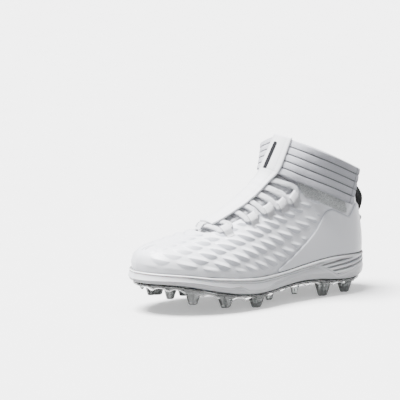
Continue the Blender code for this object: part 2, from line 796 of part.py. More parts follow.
def panel_top(u, side):
    """Upper edge of the heel panel: a diagonal from the waist up to the patch and strap."""
    rise = 0.02 + (u - PANEL_FROM) / (PANEL_HIGH - PANEL_FROM) * PANEL_RISE
    covered = side == LATERAL and u < PATCH_TO + 0.2
    limit = patch_bottom() - SEAT * 2 if covered else PANEL_UNDER_STRAP - STRAP_WIDTH / 2
    return min(rise, v_at_strap_height(u, side, limit))


def build_panel(look, home):
    """Smooth heel panel laid over the upper, both sides and round the back."""
    rows = [PANEL_FROM + 0.2, 10.2, 11.0, 11.8, 12.6, 13.4, 14.1, 14.6, 15.0, 15.28, 15.45]
    rows += [15.8, 16.2, 16.6, 17.0, 17.35, 17.7]
    stations = [(u, LATERAL) for u in rows] + [(18.0, LATERAL)]
    stations += [(u, MEDIAL) for u in reversed(rows)]

    def limits(u, side):
        return 0.008, panel_top(u, side)

    mesh = shell_between("heel_panel", stations, limits, 5, SEAT, SEAT + COUNTER_THICKNESS)
    return add_object("heel_panel", mesh, look, home)


def back_stations():
    """Stations across the back of the heel, as wide as the pull loop."""
    edge = 17.55
    return [(edge, LATERAL), (17.8, LATERAL), (18.0, LATERAL), (17.8, MEDIAL), (edge, MEDIAL)]


def build_pull_loop(looks, home):
    """Black webbing loop behind the ankle, and the white end that holds it down."""
    seat = COUNTER_THICKNESS + SEAT + GAP
    bulge = (0.0, 0.55, 0.9, 1.0, 0.8, 0.4, 0.0)
    low, high = PULL_LOW, PULL_HIGH
    grids = []
    for extra in (PULL_THICKNESS, 0.0):
        grid = []
        for k, out in enumerate(bulge):
            v = low + (high - low) * k / (len(bulge) - 1)
            grid.append([skin_point(u, v, side, seat + PULL_STANDOFF * out + extra) for u, side in back_stations()])
        grids.append(grid)
    mesh = solid_of_layers("pull_loop", grids[0], grids[1])
    add_object("pull_loop", mesh, looks["black"], home)
    puff = (0.35, 0.85, 1.0, 0.8)
    grids = []
    for inner in (False, True):
        grid = []
        for k, share in enumerate(puff):
            v = PULL_END_LOW + (low - 0.012 - PULL_END_LOW) * k / (len(puff) - 1)
            lift = seat if inner else seat + PULL_END_THICKNESS * share
            grid.append([skin_point(u, v, side, lift) for u, side in back_stations()])
        grids.append(grid)
    mesh = solid_of_layers("pull_loop_end", grids[0], grids[1])
    add_object("pull_loop_end", mesh, looks["cloth"], home)


def slab(name, rows, outline, top_of, bottom_of):
    """A plate across the shoe between two heights, following an outline."""
    across = (0.0, 0.33, 0.67, 1.0)
    grids = []
    for height in (top_of, bottom_of):
        grid = []
        for u in rows:
            a, b = outline(u, LATERAL), outline(u, MEDIAL)
            row = []
            for share in across:
                p = a.lerp(b, share)
                row.append(Vector((p.x, p.y, height(p.x))))
            grid.append(row)
        grids.append(grid)
    return solid_of_layers(name, grids[0], grids[1])


def inset_outline(distance):
    def outline(u, side):
        p = edge_point(u, side)
        return p - edge_normal(u, side) * distance
    return outline


@functools.lru_cache(maxsize=None)
def sole_line(x, column):
    """Height of the upper's foot or the midsole's underside, at a place along the shoe."""
    low, high = 0.0, float(LAST_ROW)
    for _ in range(24):
        u = (low + high) / 2
        if length_place(section(u)["foot"]) < x:
            low = u
        else:
            high = u
    return section(low)[column] * EDGE_HEIGHT


def sole_rows():
    return [0.0, 0.35, 0.7, 1.1, 1.6] + [2.2 + 0.7 * k for k in range(21)] + [16.7, 17.1, 17.5, 17.8, 18.0]


def build_insole(look, home):
    inset = UPPER_WALL + 0.0008
    mesh = slab(
        "insole", sole_rows(), inset_outline(inset),
        lambda x: sole_line(x, "edge") + SEAT + INSOLE_THICKNESS, lambda x: sole_line(x, "edge") + SEAT,
    )
    return add_object("insole", mesh, look, home)


def wall_point(u, side, drop, outset, fin):
    """A point of the midsole's side wall."""
    out = outset * SOLE_LIP
    if fin and u > HEEL_FINS_FROM:
        out -= HEEL_FIN_DEPTH
    p = edge_point(u, side) + edge_normal(u, side) * out
    top, bottom = edge_point(u, side).z - GAP, sole_line(p.x, "base")
    return Vector((p.x, p.y, top + (bottom - top) * drop))


def build_midsole(look, home):
    """White midsole: stepped side wall, with fins at the heel."""
    rows = sole_rows()
    stations = [(u, LATERAL) for u in reversed(rows)] + [(u, MEDIAL) for u in rows[1:-1]]
    loops = [[wall_point(u, side, *step) for u, side in stations] for step in SIDE_WALL]
    count = len(stations)
    points = [p for loop in loops for p in loop]
    faces = []
    for i in range(len(loops) - 1):
        for j in range(count):
            k = (j + 1) % count
            faces.append((i * count + j, i * count + k, (i + 1) * count + k, (i + 1) * count + j))
    half = len(rows) - 1
    for base in (0, (len(loops) - 1) * count):
        for j in range(half):
            pair = (j, j + 1, (count - j - 1) % count, (count - j) % count)
            faces.append(tuple(dict.fromkeys(base + k for k in pair)))
    mesh = bpy.data.meshes.new("midsole")
    mesh.from_pydata(points, [], faces)
    weld(mesh)
    return add_object("midsole", mesh, look, home)


def stud(name, place, off_centre, tip, size, look, home):
    """A fluted stud: three lobed sections from inside the plate down to the tip."""
    x, y = length_place(place), off_centre * BALL_WIDTH
    foot = tip * EDGE_HEIGHT
    levels = ((0.0, 1.15), (0.25, 1.0), (1.0, STUD_TIP_SHARE))
    sides = 12
    points = []
    for drop, share in levels:
        for k in range(sides):
            turn = 2 * math.pi * (k + 0.5) / sides
            flute = 1 - STUD_FLUTE * (k % 3 == 1)
            px = x + math.cos(turn) * STUD_TOP_LENGTH / 2 * size * share * flute
            py = y + math.sin(turn) * STUD_TOP_WIDTH / 2 * size * share * flute
            root = sole_line(px, "base") - SEAT - PLATE_THICKNESS * 0.5
            points.append(Vector((px, py, root + (foot - root) * drop)))
    faces = [tuple(range(sides)), tuple(range(sides * 2, sides * 3))]
    for i in range(2):
        for k in range(sides):
            n = (k + 1) % sides
            faces.append((i * sides + k, i * sides + n, (i + 1) * sides + n, (i + 1) * sides + k))
    mesh = bpy.data.meshes.new(name)
    mesh.from_pydata(points, [], faces)
    weld(mesh)
    return add_object(name, mesh, look, home)


def build_outsole(look, home):
    """Clear plate under the midsole with its moulded studs."""
    mesh = slab(
        "outsole_plate", sole_rows(), inset_outline(0.0012),
        lambda x: sole_line(x, "base") - SEAT,
        lambda x: sole_line(x, "base") - SEAT - PLATE_THICKNESS,
    )
    plate = add_object("outsole_plate", mesh, look, home)
    studs = [stud(f"stud_{k}", *row, look, home) for k, row in enumerate(STUDS)]
    return join_all(plate, studs)


def main():
    start_clean()
    home = bpy.data.collections.new("football_cleat")
    bpy.context.scene.collection.children.link(home)
    looks = {
        "skin": material("white_skin", WHITE_SKIN),
        "cloth": material("white_cloth", WHITE_CLOTH),
        "fleece": material("grey_fleece", GREY_FLEECE),
        "foam": material("white_foam", WHITE_FOAM),
        "clear": material("smoky_clear", SMOKY_CLEAR),
        "black": material("black_webbing", BLACK_WEBBING),
    }
    tree = ankle_tree()
    build_upper(looks["skin"], home)
    build_cuff(looks["cloth"], home)
    build_tongue(looks["cloth"], home)
    build_laces(looks["cloth"], home)
    build_loops(looks["cloth"], home)
    build_strip(tree, looks["cloth"], home)
    build_strap(tree, looks["cloth"], home)
    build_patch(looks["fleece"], home)
    build_panel(looks["skin"], home)
    build_pull_loop(looks, home)
    build_insole(looks["foam"], home)
    build_midsole(looks["foam"], home)
    build_outsole(looks["clear"], home)


main()
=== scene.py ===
"""Looks of a left american football cleat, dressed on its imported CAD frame.

Toe towards -X, heel towards +X, +Z up, outer side towards -Y. Lengths are in metres.
"""

import math

import bmesh
import bpy
import numpy as np
from bpy.props import FloatProperty, FloatVectorProperty, IntProperty, PointerProperty
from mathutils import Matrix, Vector
from mathutils.bvhtree import BVHTree
from mathutils.kdtree import KDTree


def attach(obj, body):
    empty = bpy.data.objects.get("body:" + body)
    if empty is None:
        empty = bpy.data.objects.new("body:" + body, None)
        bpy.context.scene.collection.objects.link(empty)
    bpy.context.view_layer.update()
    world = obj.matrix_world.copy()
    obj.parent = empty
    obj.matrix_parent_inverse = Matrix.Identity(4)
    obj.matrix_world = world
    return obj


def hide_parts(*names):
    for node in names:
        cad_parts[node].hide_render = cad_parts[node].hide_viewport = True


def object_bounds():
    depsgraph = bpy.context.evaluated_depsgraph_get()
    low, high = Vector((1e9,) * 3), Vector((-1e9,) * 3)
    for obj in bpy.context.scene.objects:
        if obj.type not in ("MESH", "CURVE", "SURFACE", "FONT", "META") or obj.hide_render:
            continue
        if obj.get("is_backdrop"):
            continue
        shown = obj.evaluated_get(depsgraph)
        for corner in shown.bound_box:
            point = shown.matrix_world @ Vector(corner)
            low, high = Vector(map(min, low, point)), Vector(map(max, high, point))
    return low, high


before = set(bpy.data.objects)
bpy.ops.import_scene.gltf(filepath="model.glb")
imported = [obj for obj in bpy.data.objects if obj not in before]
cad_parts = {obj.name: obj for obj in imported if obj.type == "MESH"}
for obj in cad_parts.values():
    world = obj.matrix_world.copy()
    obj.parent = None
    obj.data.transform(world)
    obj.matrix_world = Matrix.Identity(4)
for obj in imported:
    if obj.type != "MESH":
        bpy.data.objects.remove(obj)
CAD_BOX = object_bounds()

bl_info = {
    "name": "Football Cleat Looks",
    "version": (1, 0, 0),
    "blender": (4, 5, 0),
    "location": "View3D > Sidebar > Cleat",
    "description": "Builds the visible pieces and finishes of an american football cleat",
    "category": "Object",
}

# Sizes of the last, as in the solids
SOLE_LENGTH = 0.296
BALL_WIDTH = 0.104
COLLAR_HEIGHT = 0.176
EDGE_HEIGHT = 0.046
LATERAL, MEDIAL = -1, 1

# One row for each section, from the toe tip to the back of the heel.
# foot, top: shares of SOLE_LENGTH from the toe. lat, med, top_lat, top_med: shares of
# BALL_WIDTH outwards. edge, base: shares of EDGE_HEIGHT. rise: share of COLLAR_HEIGHT.
# low, down: the rib's end handles as shares of its height. out, round: of BALL_WIDTH.
COLUMNS = (
    "foot", "lat", "med", "edge", "base", "top", "top_lat", "top_med", "rise",
    "low", "out", "round", "down",
)
SECTIONS = (
    (0.000, -0.080, 0.080, 1.06, 0.78, 0.095, -0.06, 0.06, 0.428, 0.62, 0.030, 0.215, 0.00),
    (0.014, 0.070, 0.215, 1.06, 0.78, 0.100, -0.06, 0.06, 0.430, 0.62, 0.030, 0.220, 0.00),
    (0.045, 0.205, 0.330, 1.05, 0.78, 0.115, -0.06, 0.06, 0.436, 0.62, 0.030, 0.235, 0.00),
    (0.090, 0.310, 0.410, 1.03, 0.76, 0.145, -0.05, 0.05, 0.446, 0.62, 0.030, 0.250, 0.00),
    (0.145, 0.395, 0.462, 0.99, 0.70, 0.185, -0.04, 0.04, 0.461, 0.60, 0.028, 0.260, 0.00),
    (0.205, 0.455, 0.490, 0.93, 0.61, 0.232, -0.03, 0.03, 0.478, 0.60, 0.026, 0.260, 0.00),
    (0.270, 0.488, 0.492, 0.88, 0.52, 0.285, -0.02, 0.02, 0.500, 0.56, 0.022, 0.240, 0.00),
    (0.340, 0.498, 0.462, 0.83, 0.44, 0.345, -0.01, 0.01, 0.542, 0.52, 0.018, 0.235, 0.00),
    (0.420, 0.478, 0.395, 0.79, 0.39, 0.410, 0.00, 0.00, 0.598, 0.48, 0.012, 0.240, 0.00),
    (0.500, 0.432, 0.335, 0.79, 0.40, 0.470, 0.00, 0.00, 0.656, 0.46, 0.008, 0.245, 0.01),
    (0.580, 0.392, 0.305, 0.82, 0.46, 0.522, 0.00, 0.00, 0.716, 0.44, 0.008, 0.255, 0.02),
    (0.660, 0.372, 0.302, 0.89, 0.50, 0.566, 0.00, 0.00, 0.780, 0.42, 0.010, 0.265, 0.03),
    (0.740, 0.362, 0.320, 0.96, 0.48, 0.606, 0.00, 0.00, 0.862, 0.40, 0.012, 0.280, 0.04),
    (0.810, 0.358, 0.332, 1.00, 0.43, 0.640, 0.00, 0.00, 0.966, 0.38, 0.014, 0.290, 0.05),
    (0.870, 0.348, 0.330, 1.00, 0.40, 0.700, 0.29, 0.28, 0.975, 0.34, 0.018, 0.100, 0.24),
    (0.920, 0.318, 0.305, 0.99, 0.40, 0.800, 0.37, 0.36, 0.915, 0.32, 0.022, 0.000, 0.34),
    (0.960, 0.252, 0.245, 0.98, 0.42, 0.890, 0.32, 0.31, 0.842, 0.32, 0.024, 0.000, 0.36),
    (0.986, 0.160, 0.156, 0.98, 0.46, 0.945, 0.19, 0.19, 0.792, 0.32, 0.026, 0.000, 0.38),
    (1.000, 0.000, 0.000, 0.98, 0.50, 0.965, 0.00, 0.00, 0.775, 0.32, 0.028, 0.000, 0.38),
)
TABLE = np.array(SECTIONS)
LAST_ROW = len(SECTIONS) - 1
RUN_STEPS = 48
HALVINGS = 20  # steps of every search by halving

# Throat of the upper. Columns: row number, half width over the surface, of BALL_WIDTH.
THROAT_START = 5.6
THROAT_ROUND = 0.8
THROAT = np.array((
    (6.5, 0.160), (8.5, 0.210), (9.8, 0.245), (11.0, 0.325), (12.0, 0.400), (13.0, 0.370),
    (14.0, 0.290),
))

# Lace turns. Columns: row number at the loops, row number where it crosses the centre line.
LACE_ROWS = ((6.90, 6.45), (8.50, 8.15), (9.70, 9.20), (10.70, 9.85), (11.60, 10.45))
LACE_SPREAD = 0.0076
EDGE_GAP = 0.0014  # clear of the throat's edge

# Upper's top line at the ankle, where the padded cuff takes over: from this row, at this v
CUFF_FROM, CUFF_LOW = 12.0, 0.84

# Strap round the ankle, as in the solids
STRAP_WIDTH = 0.0420
STRAP_THICKNESS = 0.0030
STRAP_TILT = math.radians(25.0)
STRAP_CENTRE = Vector((0.272 * SOLE_LENGTH, 0, 0.808 * COLLAR_HEIGHT))
STRAP_SEAT = 0.0024
STRAP_CORNER = 0.0110
STRAP_CORNER_FLARE = 0.0020
STRAP_CORNER_AT = 140.0
STRAP_CORNER_SPREAD = 25.0
STRAP_NARROWING = 0.26

# Strip over the laces: its row numbers, and how much of its inner half the tab keeps
STRIP_START = 6.45
STRIP_TURN = 11.35
TAB_INNER_SHARE = 0.35

# Pull loop behind the ankle, in v up the back rib
PULL_LOW, PULL_HIGH = 0.44, 0.89
PULL_END_LOW = 0.30
PULL_ROW = 17.55  # row of its two edges


# ---- the last's surface ----


def column(values, name):
    return values[..., COLUMNS.index(name)]


def curve(before, a, b, after, f):
    """Smooth curve from a to b through its neighbours (Catmull-Rom); f runs from 0 to 1."""
    start, end = (b - before) / 2, (after - a) / 2
    return (
        a * (2 * f**3 - 3 * f**2 + 1) + start * (f**3 - 2 * f**2 + f)
        + b * (3 * f**2 - 2 * f**3) + end * (f**3 - f**2)
    )


def section(u):
    """The section table's values at row numbers that need not be whole."""
    u = np.clip(np.asarray(u, float), 0, LAST_ROW)
    i = np.minimum(u.astype(int), LAST_ROW - 1)
    return curve(*(TABLE[np.clip(i + k, 0, LAST_ROW)] for k in (-1, 0, 1, 2)), (u - i)[..., None])


def stack(x, y, z):
    """Points from coordinates of any matching shapes."""
    return np.stack(np.broadcast_arrays(x, y, z), axis=-1).astype(float)


def edge_point(u, side):
    """A point of the sole's upper edge."""
    s = section(u)
    half = np.where(np.asarray(side) == LATERAL, column(s, "lat"), column(s, "med"))
    x = (column(s, "foot") - 0.5) * SOLE_LENGTH
    return stack(x, side * half * BALL_WIDTH, column(s, "edge") * EDGE_HEIGHT)


def unit(vectors):
    return vectors / np.maximum(np.linalg.norm(vectors, axis=-1, keepdims=True), 1e-12)


def edge_normal(u, side):
    """Horizontal direction straight out of the shoe's edge."""
    u, side = np.broadcast_arrays(np.asarray(u, float), side)
    along = edge_point(u + 0.05, side) - edge_point(u - 0.05, side)
    out = unit(stack(-side * along[..., 1], side * along[..., 0], 0))
    out[u < 0.02] = (-1, 0, 0)
    out[u > LAST_ROW - 0.02] = (1, 0, 0)
    return out


def last_point(u, v, side):
    """A point of the last: u is the row, v runs from the sole edge (0) to the top line (1)."""
    u, v, side = np.broadcast_arrays(np.asarray(u, float), np.asarray(v, float), side)
    s = section(u)
    foot = edge_point(u, side)
    half = np.where(side == LATERAL, column(s, "top_lat"), column(s, "top_med"))
    x = (column(s, "top") - 0.5) * SOLE_LENGTH
    top = stack(x, side * half * BALL_WIDTH, column(s, "rise") * COLLAR_HEIGHT)
    height = top[..., 2] - foot[..., 2]
    normal = edge_normal(u, side) * BALL_WIDTH
    up = stack(0, 0, height)
    low = foot + normal * column(s, "out")[..., None] + up * column(s, "low")[..., None]
    high = top + normal * column(s, "round")[..., None] - up * column(s, "down")[..., None]
    v = v[..., None]
    w = 1 - v
    return foot * w**3 + low * 3 * w * w * v + high * 3 * w * v * v + top * v**3


def last_normal(u, v, side):
    """Outward normal of the last."""
    u, v, side = np.broadcast_arrays(np.asarray(u, float), np.asarray(v, float), side)
    step = 0.02
    u0, u1 = np.clip(u - step, 0, LAST_ROW), np.clip(u + step, 0, LAST_ROW)
    v0, v1 = np.clip(v - step, 0, 1), np.clip(v + step, 0, 1)
    toe, heel = (u < step)[..., None], (u > LAST_ROW - step)[..., None]
    along = last_point(u1, v, side) - last_point(u0, v, side)
    along = np.where(toe, last_point(u1, v, side) - last_point(u1, v, -side), along)
    along = np.where(heel, last_point(u0, v, -side) - last_point(u0, v, side), along)
    up = last_point(u, v1, side) - last_point(u, v0, side)
    return unit(np.cross(along, up) * -side[..., None])


def surface(u, v, side):
    """Points of the last and its outward normals there."""
    return last_point(u, v, side), last_normal(u, v, side)


def rib_runs(u, side):
    """For one rib: places v from the top down, and distances over it from the centre line."""
    v = np.linspace(1, 0, RUN_STEPS + 1)
    points = last_point(u, v, side)
    start = 0.0
    if u > 12.5:
        start = abs(points[0][1])
    lengths = np.linalg.norm(np.diff(points, axis=0), axis=1)
    return v, np.concatenate(([start], start + np.cumsum(lengths)))


def v_at_distance(u, side, distance):
    """The v at which each rib is a given distance, over the surface, from the centre line."""
    u, side, distance = np.broadcast_arrays(np.asarray(u, float), side, distance)
    found = np.empty(u.shape)
    for k in np.ndindex(u.shape):
        v, runs = rib_runs(u[k], side[k])
        found[k] = np.interp(distance[k], runs, v)
    return found


def throat_half_width(u):
    """Half the throat's width over the surface: a round start, then widening edges."""
    run = np.clip((np.asarray(u, float) - THROAT_START) / THROAT_ROUND, 0, 1)
    half = np.interp(u, THROAT[:, 0], THROAT[:, 1]) * BALL_WIDTH
    return half * np.sqrt(1 - (1 - run) ** 2)


def out_and_back(rows, closed=False):
    """Rows along the outer side and back along the inner side, and the side of each."""
    back = rows[::-1][1:-1] if closed else rows[::-1][1:]
    side = np.concatenate([np.full(len(rows), LATERAL), np.full(len(back), MEDIAL)])
    return np.concatenate([rows, back]), side


def smooth(value, low, high):
    """0 below low, 1 above high, and a smooth run between them."""
    f = np.clip((np.asarray(value, float) - low) / (high - low), 0, 1)
    return f * f * (3 - 2 * f)


def bell(off, width):
    """1 on a line, falling off softly beside it."""
    return np.exp(-((off / width) ** 2))


# ---- meshes ----


def mesh_piece(name, points, faces, look, uv=None):
    """A smooth-shaded piece, linked into the scene. uv: place of each point, in metres."""
    mesh = bpy.data.meshes.new(name)
    mesh.from_pydata(points.tolist(), [], faces)
    if uv is not None:
        layer = mesh.uv_layers.new(name="surface")
        corner = np.empty(len(mesh.loops), int)
        mesh.loops.foreach_get("vertex_index", corner)
        layer.data.foreach_set("uv", uv[corner].astype(np.float32).ravel())
    work = bmesh.new()
    work.from_mesh(mesh)
    bmesh.ops.remove_doubles(work, verts=work.verts, dist=0.00002)
    bmesh.ops.recalc_face_normals(work, faces=work.faces)
    work.to_mesh(mesh)
    work.free()
    mesh.materials.append(look)
    mesh.shade_smooth()
    piece = bpy.data.objects.new(name, mesh)
    bpy.context.scene.collection.objects.link(piece)
    return piece


def grid_uv(grid, turn=False):
    """Distances along and across a grid of points, in metres."""
    rows, columns = grid.shape[:2]
    along = np.zeros((rows, columns))
    across = np.zeros((rows, columns))
    middle = grid[rows // 2]
    along[:, 1:] = np.cumsum(np.linalg.norm(np.diff(middle, axis=0), axis=1))[None, :]
    across[1:] = np.cumsum(np.linalg.norm(np.diff(grid, axis=0), axis=2), axis=0)
    uv = np.stack([across, along] if turn else [along, across], axis=-1)
    return uv.reshape(-1, 2)


def grid_faces(rows, columns, closed, start=0):
    """Faces over a grid of points. closed: the last column joins the first."""
    spans = columns if closed else columns - 1
    faces = []
    for i in range(rows - 1):
        for j in range(spans):
            k = (j + 1) % columns
            a, b = start + i * columns, start + (i + 1) * columns
            faces.append((a + j, a + k, b + k, b + j))
    return faces


def sheet_piece(name, grid, look, closed=False, turn=False):
    """A single-layer surface from rows of points."""
    rows, columns = grid.shape[:2]
    faces = grid_faces(rows, columns, closed)
    return mesh_piece(name, grid.reshape(-1, 3), faces, look, grid_uv(grid, turn))


def shell_piece(name, outer, inner, look, turn=False):
    """A closed shell between two like grids, with rims along its free edges."""
    rows, columns = outer.shape[:2]
    count = rows * columns
    points = np.concatenate([outer.reshape(-1, 3), inner.reshape(-1, 3)])
    uv = np.concatenate([grid_uv(outer, turn), grid_uv(inner, turn)])
    faces = grid_faces(rows, columns, False)
    faces += [tuple(reversed(f)) for f in grid_faces(rows, columns, False, count)]
    last = (rows - 1) * columns
    for j in range(columns - 1):
        faces.append((j, j + count, j + 1 + count, j + 1))
        a, b = last + j, last + j + 1
        faces.append((a, b, b + count, a + count))
    for a in range(0, last, columns):
        b, c, d = a + columns, a + columns - 1, a + 2 * columns - 1
        faces.append((a, b, b + count, a + count))
        faces.append((c, c + count, d + count, d))
    return mesh_piece(name, points, faces, look, uv)


def place(piece, slot, *nodes, pad=None):
    """Rides on the shoe's one body, and hides the solids that it stands for."""
    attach(piece, "root")
    if nodes:
        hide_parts(*nodes)
    return piece


# ---- finishes ----


class Finish:
    """A node material for one of the shoe's finishes, built up a layer at a time."""

    def __init__(self, name, colour, roughness):
        self.material = bpy.data.materials.new(name)
        self.material.use_nodes = True
        self.tree = self.material.node_tree
        self.shader = self.tree.nodes["Principled BSDF"]
        self.material.diffuse_color = (*colour, 1)
        self.shader.inputs["Base Color"].default_value = (*colour, 1)
        self.shader.inputs["Roughness"].default_value = roughness
        place_node = self.tree.nodes.new("ShaderNodeTexCoord")
        self.place = place_node.outputs["Object"]
        surface = self.tree.nodes.new("ShaderNodeUVMap")
        surface.uv_map = "surface"
        split = self.tree.nodes.new("ShaderNodeSeparateXYZ")
        self.tree.links.new(surface.outputs["UV"], split.inputs[0])
        self.along, self.across = split.outputs["X"], split.outputs["Y"]

    def set(self, **values):
        """Sets plain numbers on the shader's own sockets."""
        for socket, value in values.items():
            self.shader.inputs[socket.replace("_", " ")].default_value = value
        return self

    def value(self, operation, a, b=0.0, c=0.0):
        """A sum of numbers or of other nodes' outputs."""
        node = self.tree.nodes.new("ShaderNodeMath")
        node.operation = operation
        for socket, source in zip(node.inputs, (a, b, c)):
            if isinstance(source, (int, float)):
                socket.default_value = source
            else:
                self.tree.links.new(source, socket)
        return node.outputs[0]

    def ribs(self, where, pitch, shift=0.0):
        """Even ribs, from 0 to 1, across one direction of the surface."""
        turn = self.value("MULTIPLY_ADD", where, 2 * math.pi / pitch, shift)
        return self.value("MULTIPLY_ADD", self.value("SINE", turn), 0.5, 0.5)

    def noise(self, size, detail=3.0):
        """Cloudy noise with features of a real size in metres."""
        node = self.tree.nodes.new("ShaderNodeTexNoise")
        node.inputs["Scale"].default_value = 1 / size
        node.inputs["Detail"].default_value = detail
        self.tree.links.new(self.place, node.inputs["Vector"])
        return node.outputs[0]

    def cells(self, size):
        """Distance to the middle of small cells of a real size in metres."""
        node = self.tree.nodes.new("ShaderNodeTexVoronoi")
        node.inputs["Scale"].default_value = 1 / size
        self.tree.links.new(self.place, node.inputs["Vector"])
        return node.outputs["Distance"]

    def attribute(self, name):
        """A value that the piece holds at each of its points."""
        node = self.tree.nodes.new("ShaderNodeAttribute")
        node.attribute_name = name
        return node.outputs["Fac"]

    def ramp(self, factor, *stops):
        """Colours along a factor. Each stop is a position and a colour."""
        node = self.tree.nodes.new("ShaderNodeValToRGB")
        marks = node.color_ramp.elements
        while len(marks) < len(stops):
            marks.new(0.5)
        for mark, (position, colour) in zip(marks, stops):
            mark.position = position
            mark.color = (*colour, 1)
        self.tree.links.new(factor, node.inputs[0])
        return node.outputs[0]

    def blend(self, factor, a, b, kind="MIX"):
        """Two colours mixed, or multiplied, by a factor."""
        node = self.tree.nodes.new("ShaderNodeMix")
        node.data_type = "RGBA"
        node.blend_type = kind
        for socket, source in ((node.inputs[0], factor), (node.inputs[6], a), (node.inputs[7], b)):
            if isinstance(source, (int, float)):
                socket.default_value = source
            elif isinstance(source, tuple):
                socket.default_value = (*source, 1)
            else:
                self.tree.links.new(source, socket)
        return node.outputs[2]

    def colour(self, source):
        """Gives the surface its colour."""
        self.tree.links.new(source, self.shader.inputs["Base Color"])
        return self

    def roughness(self, factor, low, high):
        """Spreads the roughness between two values."""
        spread = self.value("MULTIPLY_ADD", factor, high - low, low)
        self.tree.links.new(spread, self.shader.inputs["Roughness"])
        return self

    def bump(self, height, depth, strength=1.0):
        """Adds relief of a real depth in metres on top of what is there."""
        node = self.tree.nodes.new("ShaderNodeBump")
        node.inputs["Strength"].default_value = strength
        node.inputs["Distance"].default_value = depth
        self.tree.links.new(height, node.inputs["Height"])
        normal = self.shader.inputs["Normal"]
        if normal.links:
            self.tree.links.new(normal.links[0].from_socket, node.inputs["Normal"])
        self.tree.links.new(node.outputs[0], normal)
        return self


def shade(colour, factor):
    return tuple(min(1.0, c * factor) for c in colour)


def skin_finish(name, colour):
    """Satin moulded synthetic: fine grain, with painted highlight on crests and painted shade on
    facets, in grooves and along edges.
    """
    f = Finish(name, colour, 0.4)
    base = f.blend(f.noise(0.03), shade(colour, 0.985), shade(colour, 1.015))
    # painted shade and highlight: grey where the relief tone is low, white on crests
    tint = f.ramp(
        f.attribute("relief"), (0.0, (0.56, 0.575, 0.62)), (0.6, (0.97, 0.975, 0.99)), (1.0, (1, 1, 1)))
    f.colour(f.blend(1.0, base, tint, "MULTIPLY"))
    f.roughness(f.noise(0.004), 0.32, 0.46)
    f.bump(f.cells(0.0009), 0.00003, 0.5)
    f.bump(f.noise(0.006), 0.00012, 0.5)
    f.set(Coat_Weight=0.12, Coat_Roughness=0.25, Specular_IOR_Level=0.5)
    return f.material


def weave_finish(name, colour, pitch, depth):
    """Plain weave: raised crossings of warp and weft, fuzzy at the finest scale."""
    f = Finish(name, colour, 0.85)
    warp = f.ribs(f.along, pitch)
    weft = f.ribs(f.across, pitch)
    over = f.value("ABSOLUTE", f.value("SUBTRACT", warp, weft))
    base = f.blend(over, shade(colour, 0.86), shade(colour, 1.03))
    f.colour(f.blend(f.noise(0.02), base, f.blend(1.0, base, (0.96, 0.965, 0.98), "MULTIPLY")))
    f.roughness(f.noise(0.0007), 0.74, 0.92)
    f.bump(over, depth, 0.9)
    f.bump(f.noise(0.0004), 0.00006, 0.6)
    f.set(Sheen_Weight=0.25, Sheen_Roughness=0.4, Specular_IOR_Level=0.25)
    return f.material


def webbing_finish(name, colour, pitch, depth):
    """Ribbed webbing: cross ribs with a finer twill along them."""
    f = Finish(name, colour, 0.8)
    ribs = f.ribs(f.along, pitch)
    twill = f.ribs(f.value("ADD", f.across, f.value("MULTIPLY", f.along, 0.5)), pitch * 0.7)
    both = f.value("MULTIPLY_ADD", ribs, 0.7, f.value("MULTIPLY", twill, 0.3))
    f.colour(f.blend(both, shade(colour, 0.88), shade(colour, 1.03)))
    f.roughness(f.noise(0.0008), 0.62, 0.85)
    f.bump(both, depth, 0.9)
    f.bump(f.noise(0.0005), 0.00004, 0.5)
    f.set(Sheen_Weight=0.2, Sheen_Roughness=0.4, Specular_IOR_Level=0.3)
    return f.material


def knit_finish(name, colour):
    """Padded knit: columns of small stitches."""
    f = Finish(name, colour, 0.9)
    sway = f.value("MULTIPLY", f.ribs(f.across, 0.0014), 0.0004)
    columns = f.ribs(f.value("ADD", f.along, sway), 0.0013)
    rows = f.ribs(f.across, 0.0007)
    both = f.value("MULTIPLY_ADD", columns, 0.65, f.value("MULTIPLY", rows, 0.35))
    f.colour(f.blend(both, shade(colour, 0.80), shade(colour, 1.04)))
    f.roughness(f.noise(0.001), 0.8, 0.96)
    f.bump(both, 0.00035, 0.9)
    f.set(Sheen_Weight=0.3, Sheen_Roughness=0.5, Specular_IOR_Level=0.2)
    return f.material


def fleece_finish(name, colour):
    """Hook and loop fleece: a mat of fine curled fibres."""
    f = Finish(name, colour, 0.95)
    curls = f.noise(0.0010, 6.0)
    f.colour(f.ramp(curls, (0.30, shade(colour, 0.62)), (0.50, colour), (0.66, shade(colour, 1.28))))
    f.roughness(curls, 0.85, 1.0)
    f.bump(curls, 0.0009, 1.0)
    f.bump(f.noise(0.0004), 0.0003, 0.8)
    f.set(Sheen_Weight=0.4, Sheen_Roughness=0.6, Specular_IOR_Level=0.15)
    return f.material


def foam_finish(name, colour, low_colour):
    """Moulded sole foam: satin, faintly mottled, cooler and glassier low down, with painted shade along
    its lines.
    """
    f = Finish(name, colour, 0.42)
    tint = f.ramp(f.attribute("depth"), (0.0, colour), (0.55, colour), (1.0, low_colour))
    base = f.blend(f.noise(0.02), tint, f.blend(1.0, tint, (0.965, 0.97, 0.98), "MULTIPLY"))
    # painted shade: darker where the piece's line value marks a shadow gap, groove or slit
    f.colour(f.blend(f.attribute("line"), base, shade(colour, 0.22)))
    f.roughness(f.noise(0.003), 0.34, 0.5)
    f.bump(f.noise(0.0012), 0.00004, 0.6)
    f.set(Coat_Weight=0.1, Coat_Roughness=0.2)
    f.set(Subsurface_Weight=0.08, Subsurface_Scale=0.004)
    return f.material


def clear_finish(name, colour):
    """Smoky clear moulding: glassy, tinted, with faint flow marks."""
    f = Finish(name, colour, 0.07)
    f.colour(f.blend(f.noise(0.012), shade(colour, 0.85), shade(colour, 1.15)))
    f.roughness(f.noise(0.004), 0.03, 0.14)
    f.bump(f.noise(0.0035), 0.00015, 0.6)
    f.set(Transmission_Weight=0.82, IOR=1.49, Specular_IOR_Level=0.6)
    return f.material


